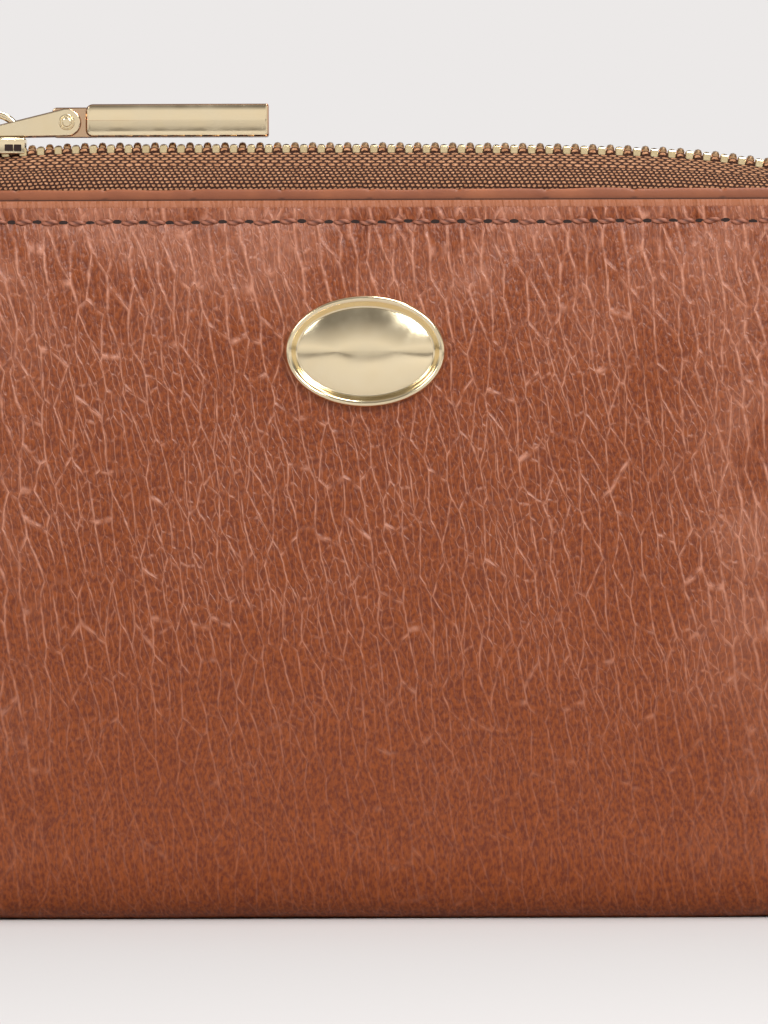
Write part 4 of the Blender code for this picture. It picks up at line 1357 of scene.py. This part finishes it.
@dataclass
class Slider:
    """The slider: a flanged plate over the chain, a floor under it, and the arched bridge."""

    metal: bpy.types.Material
    dark: bpy.types.Material
    flange: float = 0.5 * MM
    plate: float = 0.85 * MM
    floor: float = 0.4 * MM
    floor_half: float = 2.6 * MM
    nose_half: float = 3.5 * MM
    round_edge: float = 0.22 * MM
    window: Pair = (1.04 * MM, 0.84 * MM)
    window_drop: float = 1.28 * MM
    strap: float = 0.9 * MM
    plate_inset: float = 0.12 * MM
    flange_tall: float = 2.02 * MM
    flange_round: float = 0.14 * MM
    post_ends: Pair = (0.3 * MM, 1.9 * MM)
    post_half: float = 0.75 * MM
    window_from_nose: float = 2.7 * MM
    window_gap: float = 0.09 * MM
    window_round: float = 0.1 * MM
    window_depth: Pair = (-0.2 * MM, 0.03 * MM)

    def plan(self, low: Vector, high: Vector, inset: float) -> Array:
        """The slider seen from above: a blunt shield, wide at the mouth and narrower at the nose."""
        wide, narrow = high.y - inset, self.nose_half - inset
        length = high.x - low.x
        cut = length / 8
        mouth, nose = low.x + inset, high.x - inset
        shoulder = low.x + 0.7 * length
        upper = np.array(
            [
                (nose, narrow - cut),
                (nose - 0.3 * cut, narrow - 0.25 * cut),
                (nose - cut, narrow),
                (shoulder, wide),
                (mouth + cut, wide),
                (mouth + 0.3 * cut, wide - 0.3 * cut),
                (mouth, wide - cut),
            ]
        )
        return np.concatenate([upper, upper[::-1] * np.array([1.0, -1.0])])

    def build_body(self) -> bpy.types.Object:
        """Builds the plate, the two flanges with their small windows, the floor and the post."""
        low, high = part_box("slider_body")
        top, bottom = high.z, low.z
        plate = self.plan(low, high, self.plate_inset)
        solids = [solid(level(slab_rings(plate, top - self.plate, top, self.round_edge)))]
        cut = (high.x - low.x) / 8
        x, y = self.flange_line(low, high)
        for sign in (-1, 1):
            outer = np.stack([x, y], axis=1)
            inner = outer[::-1] - np.array([0.0, self.flange])
            outline = np.concatenate([inner[::-1], outer[::-1]])
            if sign < 0:
                outline = (outline * np.array([1.0, -1.0]))[::-1]
            span = (top - self.flange_tall, top - self.plate_inset)
            solids.append(solid(level(slab_rings(outline, *span, self.flange_round))))
        floor = rounded_box((low.x, -self.floor_half), (high.x - cut, self.floor_half), (1.0 * MM,) * 4, 5)
        solids.append(solid(level(slab_rings(floor, bottom, bottom + self.floor, self.round_edge))))
        start, end = (low.x + away for away in self.post_ends)
        post = rounded_box((start, -self.post_half), (end, self.post_half), (0.5 * MM,) * 4, 4)
        solids.append(
            solid(level(slab_rings(post, bottom + self.floor / 2, top - self.plate / 2, 0.05 * MM)))
        )
        points, faces = join(solids)
        made = piece("slider_shell", points, faces, self.metal, sharp=30.0)
        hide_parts("slider_body")
        return made

    def build_windows(self) -> bpy.types.Object:
        """Builds the two windows pressed into each flange, near the nose, as thin near-black plates of
        painted shade.
        """
        low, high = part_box("slider_body")
        wide, tall = self.window
        middle = high.z - self.window_drop
        solids = []
        for sign in (-1, 1):
            for step in (0, 1):
                start = high.x - self.window_from_nose + step * (wide + self.window_gap)
                end = start + wide * (1.0 - 0.1 * step)
                corners = ((start, middle - tall / 2), (end, middle + tall / 2))
                # painted shade: a thin near-black plate stands for the dark inside of each window
                outline = rounded_box(*corners, (self.window_round,) * 4, 2)
                rings = upright(slab_rings(outline, *self.window_depth, 0.01 * MM, 1))
                face = np.interp(rings[..., 0], *self.flange_line(low, high))
                rings[..., 1] = sign * (rings[..., 1] + face)
                solids.append(solid(rings))
        points, faces = join(solids)
        return piece("slider_windows", points, faces, self.dark)

    def flange_line(self, low: Vector, high: Vector) -> Tuple[Array, Array]:
        """The flange's outer face from above: level to the shoulder, then drawn in to the nose."""
        cut = (high.x - low.x) / 8
        shoulder = low.x + 0.7 * (high.x - low.x)
        x = np.array([low.x + cut, shoulder, high.x - cut, high.x - 0.2 * cut])
        return x, np.array([high.y, high.y, self.nose_half, self.nose_half - 0.35 * cut])

    def build_bridge(self) -> bpy.types.Object:
        """Sweeps a rounded strap over the arch: a half ellipse that stands on the plate at both ends."""
        low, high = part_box("slider_bridge")
        half = (high.x - low.x) / 2 - self.strap / 2 + 0.45 * MM
        rise = high.z - low.z - self.strap / 2 + 0.35 * MM
        turn = np.linspace(math.pi, 0, 33)
        x = (low.x + high.x) / 2 + half * np.cos(turn)
        z = low.z - 0.12 * MM + rise * np.sin(turn) ** 0.75
        line = np.stack([x, z], axis=1)
        forward = np.gradient(line, axis=0)
        forward /= np.linalg.norm(forward, axis=1, keepdims=True)
        outward = np.stack([-forward[:, 1], forward[:, 0]], axis=1)
        section = rounded_box((-self.strap / 2, low.y), (self.strap / 2, high.y), (0.3 * MM,) * 4, 4)
        flat = line[:, None] + outward[:, None] * section[None, :, :1]
        y = np.broadcast_to(section[None, :, 1], flat.shape[:2])
        rings = np.stack([flat[..., 0], y, flat[..., 1]], axis=-1)
        made = piece("slider_arch", *solid(rings), self.metal)
        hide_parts("slider_bridge")
        return made

    def build(self) -> List[bpy.types.Object]:
        """Builds the slider's pieces on the slider body."""
        made = [self.build_body(), self.build_windows(), self.build_bridge()]
        for one in made:
            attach(one, "slider")
        return made


@dataclass
class Puller:
    """The puller: a forked link with a riveted eye, and the bevelled bar that hangs from it."""

    metal: bpy.types.Material
    cheek: float = 0.7 * MM
    eye: float = 1.75 * MM
    neck: float = 0.75 * MM
    rivet: float = 0.68 * MM
    collar: float = 1.02 * MM
    tongue_half: float = 0.65 * MM
    crown: float = 0.06 * MM
    bead: Pair = (0.13 * MM, 0.14 * MM)
    rivet_proud: float = 0.3 * MM
    grip_gap: float = 0.6 * MM
    grip_rise: Pair = (0.13 * MM, 0.27 * MM)
    grip_bevel: float = 0.42 * MM
    tongue_play: float = 0.1 * MM
    tongue_in_grip: float = 1.5 * MM
    tongue_shine: float = 0.5

    def pivots(self) -> Tuple[Pair, Pair]:
        """The pin's and the rivet's places, (x, z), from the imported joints."""
        joints = {j["name"]: j for j in frame["joints"]}
        spots = [joints[name]["pos_m"] for name in ("link_swing", "bar_swing")]
        return (spots[0][0], spots[0][2]), (spots[1][0], spots[1][2])

    def cheek_outline(self) -> Array:
        """A teardrop: a small round at the pin, a large round at the eye, and the tangents between them."""
        pin, eye = self.pivots()
        dx, dz = eye[0] - pin[0], eye[1] - pin[1]
        tilt = math.degrees(math.atan2(dz, dx))
        lean = math.degrees(math.asin((self.eye - self.neck) / math.hypot(dx, dz)))
        return np.concatenate(
            [
                arc(eye, self.eye, tilt - 90 - lean, tilt + 90 + lean, 22),
                arc(pin, self.neck, tilt + 90 + lean, tilt + 270 - lean, 12),
            ]
        )

    def build_link(self) -> List[bpy.types.Object]:
        """Builds the two cheeks with their pin, and the rivet with its ringed head."""
        pin, eye = self.pivots()
        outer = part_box("pull_link")[1].y
        solids = []
        for sign in (-1, 1):
            faces_at = sorted((sign * (outer - self.cheek), sign * outer))
            solids.append(solid(upright(slab_rings(self.cheek_outline(), *faces_at, 0.2 * MM, 5))))
        solids.append(round_pin(pin, 0.5 * MM, -outer + self.cheek / 2, outer - self.cheek / 2, 0.05 * MM))
        points, faces = join(solids)
        link = piece("link_fork", points, faces, self.metal)
        paint_bevel_reflections(link)
        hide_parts("pull_link")
        end = outer + self.rivet_proud
        heads = [round_pin(eye, self.rivet * 0.9, -end, end, 0.18 * MM)]
        angle = np.linspace(0, math.tau, 40, endpoint=False)[:, None]
        bead = np.linspace(0, math.tau, 10, endpoint=False)[None, :]
        for sign in (-1, 1):
            ring_radius = self.collar - self.bead[0] + self.bead[0] * np.cos(bead)
            depth = sign * (outer + 0.02 * MM) + self.bead[1] * np.sin(bead) + 0 * angle
            ring = np.stack(
                [eye[0] + ring_radius * np.cos(angle), depth, eye[1] + ring_radius * np.sin(angle)], axis=-1
            )
            count, size = ring.shape[:2]
            heads.append((ring.reshape(-1, 3), (grid_faces(count + 1, size) % (count * size)).tolist()))
        points, faces = join(heads)
        rivet = piece("link_rivet", points, faces, self.metal)
        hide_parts("pull_rivet")
        return [link, rivet]

    def build_bar(self) -> bpy.types.Object:
        """Builds the grip, a bevelled bar with soft left corners, and its thin tongue."""
        _, eye = self.pivots()
        low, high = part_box("pull_bar")
        start = eye[0] + self.eye + self.grip_gap
        foot, head = low.z + self.grip_rise[0], high.z + self.grip_rise[1]
        outline = rounded_box((start, foot), (high.x, head), (0.3 * MM, 0.3 * MM, 0.9 * MM, 0.9 * MM), 6)
        grip = slab_rings(outline, low.y, high.y, self.grip_bevel, 3)
        middle = (foot + head) / 2
        share = np.array([0.03, 0.4, 0.75])[:, None]
        for side, cap in ((-1, grip[0]), (1, grip[-1])):
            depth = cap[None, :, 0] + side * self.crown * (1 - share**2)
            crowned = np.stack(
                [depth, cap[None, :, 1] + 0 * depth, middle + share * (cap[None, :, 2] - middle)], axis=-1
            )
            grip = np.concatenate([crowned, grip] if side < 0 else [grip, crowned[::-1]])
        tip = (low.x, low.z + self.tongue_play)
        root = (start + self.tongue_in_grip, high.z - self.tongue_play)
        tongue = rounded_box(tip, root, (0.2 * MM, 0.2 * MM, 0.6 * MM, 0.6 * MM), 4)
        solids = [solid(upright(grip))]
        solids.append(solid(upright(slab_rings(tongue, -self.tongue_half, self.tongue_half, 0.15 * MM))))
        points, faces = join(solids)
        made = piece("pull_grip", points, faces, self.metal, sharp=25.0)
        paint_bevel_reflections(made)
        tongue_from = grip.shape[0] * grip.shape[1]
        shine = made.data.attributes["painted_reflection"].data
        values = np.zeros(len(points), np.float32)
        shine.foreach_get("value", values)
        # painted shade and reflection: the tongue, tucked behind the cheeks, is tinted brown
        values[tongue_from:] = np.maximum(values[tongue_from:], self.tongue_shine)
        shine.foreach_set("value", values)
        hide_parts("pull_bar")
        return made

    def build(self) -> List[bpy.types.Object]:
        """Builds the puller on its two bodies."""
        link, rivet = self.build_link()
        bar = self.build_bar()
        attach(link, "pull_link")
        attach(rivet, "pull_link")
        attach(bar, "pull_bar")
        return [link, rivet, bar]


@dataclass
class Badge:
    """A plain oval badge on the front cover: a raised round rim about a softly domed field."""

    metal: bpy.types.Material
    rings: int = 26
    spokes: int = 96

    def build(self) -> bpy.types.Object:
        """Builds the badge as ovals inside each other, whose height follows the rim and the dome.

        The height over the share of the radius is a bead at the rim, a groove inside it
        and half a cosine over the field.
        """
        low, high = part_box("badge")
        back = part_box("front_leather")[0].y - 0.02 * MM
        half_x, half_z = (high.x - low.x) / 2, (high.z - low.z) / 2
        centre_x, centre_z = (high.x + low.x) / 2, (high.z + low.z) / 2
        full = back - low.y
        share = np.array([1.0, 1.0, 0.997, 0.985, 0.965, 0.94, 0.91, 0.88, 0.85, 0.825, 0.8, 0.785])
        bead = np.array([0.0, 0.35, 0.62, 0.84, 0.96, 1.0, 0.97, 0.86, 0.68, 0.5, 0.4, 0.37])
        field_share = np.linspace(0.77, 0.02, self.rings)
        field = 0.37 + 0.42 * np.cos(field_share / 0.785 * math.pi / 2) ** 0.8
        radius = np.concatenate([share, field_share])[:, None]
        height = np.concatenate([bead, field])[:, None]
        angle = np.linspace(0, math.tau, self.spokes, endpoint=False)[None, :]
        inset = (1 - radius) * half_z
        x = centre_x + (half_x - inset) * np.cos(angle) * np.where(radius < 0.03, radius, 1)
        z = centre_z + (half_z - inset) * np.sin(angle) * np.where(radius < 0.03, radius, 1)
        y = back - full * height + 0 * angle
        rings = np.stack([x, y, z], axis=-1)
        made = piece("oval_badge", *solid(rings), self.metal, sharp=60.0)
        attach(made, "front_cover")
        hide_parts("badge")
        return made


# ---------------------------------------------------------------- the inside


@dataclass
class Inside:
    """Linings, pockets and gusset: thin sheets between the covers."""

    cloth: bpy.types.Material
    pocket: bpy.types.Material
    leather: bpy.types.Material
    board: bpy.types.Material
    nickel: bpy.types.Material
    step: float = 2.0 * MM
    gusset_thickness: float = 0.55 * MM
    pleats: int = 2
    lining_thickness: float = 0.4 * MM
    pocket_thickness: float = 0.45 * MM

    def flat_sheet(
        self, node: str, side: Side, material: bpy.types.Material, slot: str, wave: float, seed: int
    ) -> bpy.types.Object:
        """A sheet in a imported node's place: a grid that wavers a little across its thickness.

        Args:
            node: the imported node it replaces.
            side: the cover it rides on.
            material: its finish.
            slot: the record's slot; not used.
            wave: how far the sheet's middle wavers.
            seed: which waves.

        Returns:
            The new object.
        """
        low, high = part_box(node)
        x = np.linspace(low.x, high.x, int((high.x - low.x) / self.step))[None, :]
        z = np.linspace(low.z, high.z, int((high.z - low.z) / self.step))[:, None]
        free = np.sin(math.pi * (x - low.x) / (high.x - low.x)) * (z - low.z) / (high.z - low.z)
        bend = wave * wander(x + 0 * z, z + 0 * x, 45 * MM, seed) * free
        half = (high.y - low.y) / 2
        middle = (high.y + low.y) / 2
        rims = np.ones_like(bend)
        rims[0], rims[-1], rims[:, 0], rims[:, -1] = 0.5, 0.5, 0.5, 0.5
        near = np.stack([x + 0 * z, middle - half * rims + bend, z + 0 * x], axis=-1)
        far = np.stack([x + 0 * z, middle + half * rims + bend, z + 0 * x], axis=-1)
        rings = np.concatenate([near, far[:, ::-1]], axis=1)
        made = piece(f"{node}_sheet", *solid(rings), material)
        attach(made, side.body)
        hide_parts(node)
        return made

    def bent_sheet(self, line: Array, axis: int, ends: Pair, thickness: float, count: int) -> Array:
        """A sheet bent along a line and swept straight.

        Args:
            line: points across the bend, (count, 2).
            axis: 0 when the sheet is swept along X and the line is (y, z), or 2 when it is
                swept along Z and the line is (x, y).
            ends: where the sweep starts and ends.
            thickness: the sheet's thickness.
            count: how many stations the sweep has.

        Returns:
            Points of closed rings, (count, points, 3).
        """
        forward = np.gradient(line, axis=0)
        forward /= np.linalg.norm(forward, axis=1, keepdims=True)
        side = np.stack([-forward[:, 1], forward[:, 0]], axis=1) * thickness / 2
        ring = np.concatenate([line + side, (line - side)[::-1]])
        sweep = np.linspace(*ends, count)[:, None]
        first = np.broadcast_to(ring[None, :, 0], (count, len(ring)))
        second = np.broadcast_to(ring[None, :, 1], (count, len(ring)))
        along = np.broadcast_to(sweep, first.shape)
        order = (along, first, second) if axis == 0 else (first, second, along)
        return np.stack(order, axis=-1)

    def build_gusset(self) -> bpy.types.Object:
        """Builds the pleated gusset with soft folds between the covers."""
        low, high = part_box("left_gusset")
        count = 97
        t = np.linspace(0, 1, count)
        wave = 0.5 - 0.5 * np.cos(math.tau * self.pleats * t)
        thickness = self.gusset_thickness
        x = low.x + 0.6 * MM + (high.x - low.x - 1.5 * MM) * wave
        y = low.y + thickness / 2 + (high.y - low.y - thickness) * t
        rings = self.bent_sheet(np.stack([x, y], axis=1), 2, (low.z, high.z), thickness, 40)
        made = piece("left_gusset_pleats", *solid(rings), self.leather)
        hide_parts("left_gusset")
        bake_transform(made)
        return made

    def build_bottom(self) -> bpy.types.Object:
        """Builds the bottom lining, which turns up inside the fold at both covers."""
        low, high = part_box("bottom_lining")
        thickness = self.lining_thickness
        centre_z, reach = high.z, high.z - low.z - thickness / 2
        inner = high.y - high.z + low.z
        left = arc((-inner, centre_z), reach, 180, 270, 12)
        right = arc((inner, centre_z), reach, 270, 360, 12)
        rings = self.bent_sheet(np.concatenate([left, right]), 0, (low.x, high.x), thickness, 60)
        made = piece("bottom_lining_sheet", *solid(rings), self.cloth)
        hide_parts("bottom_lining")
        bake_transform(made)
        return made

    def build_coin_pocket(self) -> bpy.types.Object:
        """Builds the coin pocket: one strip of lining leather folded into a flat U."""
        low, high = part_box("coin_pocket")
        thickness = self.pocket_thickness
        middle = (low.y + high.y) / 2
        radius = (high.y - low.y - thickness) / 2
        bottom = arc((middle, low.z + radius + thickness / 2), radius, 180, 360, 14)
        heights = np.linspace(high.z, bottom[0, 1] + 1 * MM, 30)
        left = np.stack([np.full(30, middle - radius), heights], axis=1)
        right = np.stack([np.full(30, middle + radius), heights[::-1]], axis=1)
        rings = self.bent_sheet(np.concatenate([left, bottom, right]), 0, (low.x, high.x), thickness, 46)
        made = piece("coin_pocket_sheet", *solid(rings), self.pocket)
        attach(made, "back_cover")
        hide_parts("coin_pocket")
        return made

    def build(self) -> List[bpy.types.Object]:
        """Builds every sheet inside the wallet, and finishes the boards and washers."""
        pocket = (self.pocket, "lining_leather")
        made = [
            self.flat_sheet(f"{side.word}_lining", side, self.cloth, "lining_cloth", 0.03 * MM, seed)
            for seed, side in enumerate(Side)
        ]
        made.append(self.flat_sheet("front_slip_pocket", Side.FRONT, *pocket, 0.12 * MM, 5))
        made += [self.flat_sheet(f"card_slot_{k}", Side.BACK, *pocket, 0.1 * MM, 6) for k in (1, 2, 3)]
        made += [self.build_gusset(), self.build_bottom(), self.build_coin_pocket()]
        kept = {f"{place}_board": self.board for place in ("front", "back", "bottom")}
        kept.update({f"badge_washer_{place}": self.nickel for place in ("left", "right")})
        for node, finish in kept.items():
            materials = frame["nodes"][node].data.materials
            materials.clear()
            materials.append(finish)
        return made


# ---------------------------------------------------------------- studio


@dataclass
class Studio:
    """The pale floor and backdrop, soft lights and the camera."""

    backdrop: str = "ECE9E8"
    floor_tone: str = "D7D4D3"
    view_height: float = 127.4 * MM
    lens: float = 300.0
    sensor: float = 36.0
    aim: Pair = (2.25 * MM, 50.76 * MM)
    roll: float = 0.2
    lit_place: Tuple[float, float, float] = (0.0, 0.0, 50 * MM)
    floor_half: float = 3.0
    floor_gap: float = 0.02 * MM
    lamps: Tuple[Tuple[str, Sequence[float], Pair, float], ...] = (
        ("key_top_right", (0.3, -0.62, 0.46), (0.24, 0.2), 3.3),
        ("key_top_left", (-0.4, -0.5, 0.46), (0.3, 0.2), 1.4),
        ("ceiling_lamp", (0.16, -0.02, 0.72), (0.22, 0.22), 1.9),
    )

    def area_light(self, name: str, place: Sequence[float], size: Pair, power: float) -> None:
        """Adds a rectangular soft light that faces the wallet's middle.

        Args:
            name: the light's name.
            place: where it stands.
            size: its width and height.
            power: its power in watts.
        """
        data = bpy.data.lights.new(name, "AREA")
        data.shape = "RECTANGLE"
        data.size, data.size_y = size
        data.energy = power
        lamp = bpy.data.objects.new(name, data)
        bpy.context.scene.collection.objects.link(lamp)
        lamp.location = place
        lamp.rotation_euler = (Vector(self.lit_place) - Vector(place)).to_track_quat("-Z", "Y").to_euler()

    def build_world(self) -> None:
        """Lights the room: pale walls, dim at eye level and high up, and a pale ceiling.

        The camera sees a plain backdrop in place of the room.
        """
        world = bpy.data.worlds.new("pale_room")
        bpy.context.scene.world = world
        world.use_nodes = True
        tree = world.node_tree
        plain = tree.nodes["Background"]
        set_inputs(tree, plain, {"Color": colour(self.backdrop), "Strength": 1.0})
        direction = add(tree, "TexCoord").outputs["Generated"]
        height = add(tree, "SeparateXYZ", {0: direction}).outputs[2]
        low = add(tree, "MapRange", {"Value": height, 1: 0.12, 2: 0.4, 3: 0.9, 4: 0.2})
        high = add(tree, "MapRange", {"Value": height, 1: 0.6, 2: 0.95, 3: 0.0, 4: 0.2})
        level_off = add(tree, "Math", {0: height}, operation="ABSOLUTE")
        horizon = add(tree, "MapRange", {"Value": level_off, 1: 0.0, 2: 0.13, 3: 0.95, 4: 1.2})
        strength = add(tree, "Math", {0: low, 1: horizon, 2: high}, operation="MULTIPLY_ADD")
        soft = add(tree, "Background", {"Color": colour("F4EFEC"), "Strength": strength})
        seen = add(tree, "LightPath").outputs["Is Camera Ray"]
        both = add(tree, "MixShader", {0: seen, 1: soft, 2: plain})
        set_inputs(tree, tree.nodes["World Output"], {"Surface": both})

    def build_floor(self) -> None:
        """Builds the pale floor the wallet stands on."""
        half = self.floor_half
        data = bpy.data.meshes.new("floor")
        corners = [(-half, -half, 0), (half, -half, 0), (half, half, 0), (-half, half, 0)]
        data.from_pydata(corners, [], [(0, 1, 2, 3)])
        floor = bpy.data.objects.new("floor", data)
        bpy.context.scene.collection.objects.link(floor)
        paint = Plain("matt_floor_paint", 0.9, plain=self.floor_tone, deep=self.floor_tone).make()
        set_inputs(paint.node_tree, paint.node_tree.nodes["Principled BSDF"], {"Specular IOR Level": 0.0})
        data.materials.append(paint)
        floor.location.z = -self.floor_gap

    def build_camera(self) -> None:
        """Places a long lens square to the front cover."""
        data = bpy.data.cameras.new("camera")
        data.lens = self.lens
        data.sensor_width = self.sensor
        data.clip_end = 20.0
        camera = bpy.data.objects.new("camera", data)
        bpy.context.scene.collection.objects.link(camera)
        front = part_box("front_leather")[0].y
        distance = self.view_height * self.lens / self.sensor
        camera.location = (self.aim[0], front - distance, self.aim[1])
        camera.rotation_euler = (math.pi / 2, math.radians(self.roll), 0.0)
        bpy.context.scene.camera = camera

    def build(self) -> None:
        """Builds the studio."""
        self.build_world()
        self.build_floor()
        for lamp in self.lamps:
            self.area_light(*lamp)
        self.build_camera()


def main() -> None:
    """Builds the wallet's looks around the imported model, then the studio."""
    logging.basicConfig(level=logging.INFO, format="%(name)s: %(message)s")
    low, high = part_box("front_leather")
    edge = ZipEdge(low.x, high.x, high.z, low.z)
    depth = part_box("back_leather")[1].y - low.y
    grained = GrainedLeather("milled_calf_leather").make()
    smooth = SmoothLeather("edge_painted_smooth_leather", 0.4).make()
    pocket = SmoothLeather("thin_lining_leather", 0.5, plain="9A5C3C", deep="7D452B").make()
    gold = PolishedMetal("light_gold_plated_zinc", 0.1).make()
    brass = PolishedMetal("polished_brass_teeth", 0.2, plain="EFE0B8", wear_and_sheen="D9C08E", smudge=1.5 * MM).make()
    thread = TwistedThread("bonded_nylon_thread", 0.45).make()
    # painted shade for the needle holes and the slider's windows
    dark = Plain("painted_recess_shade", 0.8, plain="2A120A", deep="1C0B06").make()
    hide = Hide(grained, edge, depth)
    made = [hide.build()]
    for side in Side:
        outer = abs(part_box(f"{side.word}_facing")[0 if side is Side.FRONT else 1].y)
        made.append(Facing(side, smooth, edge, outer).build())
        made += Seam(side, thread, dark, hide).build()
    made += Zip(edge, ZipTape("woven_polyester_tape", 0.75).make(), brass).build()
    made += Slider(gold, dark).build()
    made += Puller(gold).build()
    made.append(Badge(gold).build())
    cloth = Cloth("woven_polyester_lining", 0.8).make()
    board = Plain("bonded_fibre_board", 0.9, plain="5F4031", deep="4A2E22").make()
    nickel = PolishedMetal("nickel_plated_steel", 0.25, plain="C9C6C0", wear_and_sheen="A9A59C").make()
    made += Inside(cloth, pocket, smooth, board, nickel).build()
    for one in made:
        LOG.info("%s: %d faces", one.name, len(one.data.polygons))
    bpy.context.scene.view_settings.view_transform = "Standard"
    Studio().build()


if __name__ == "__main__":
    main()
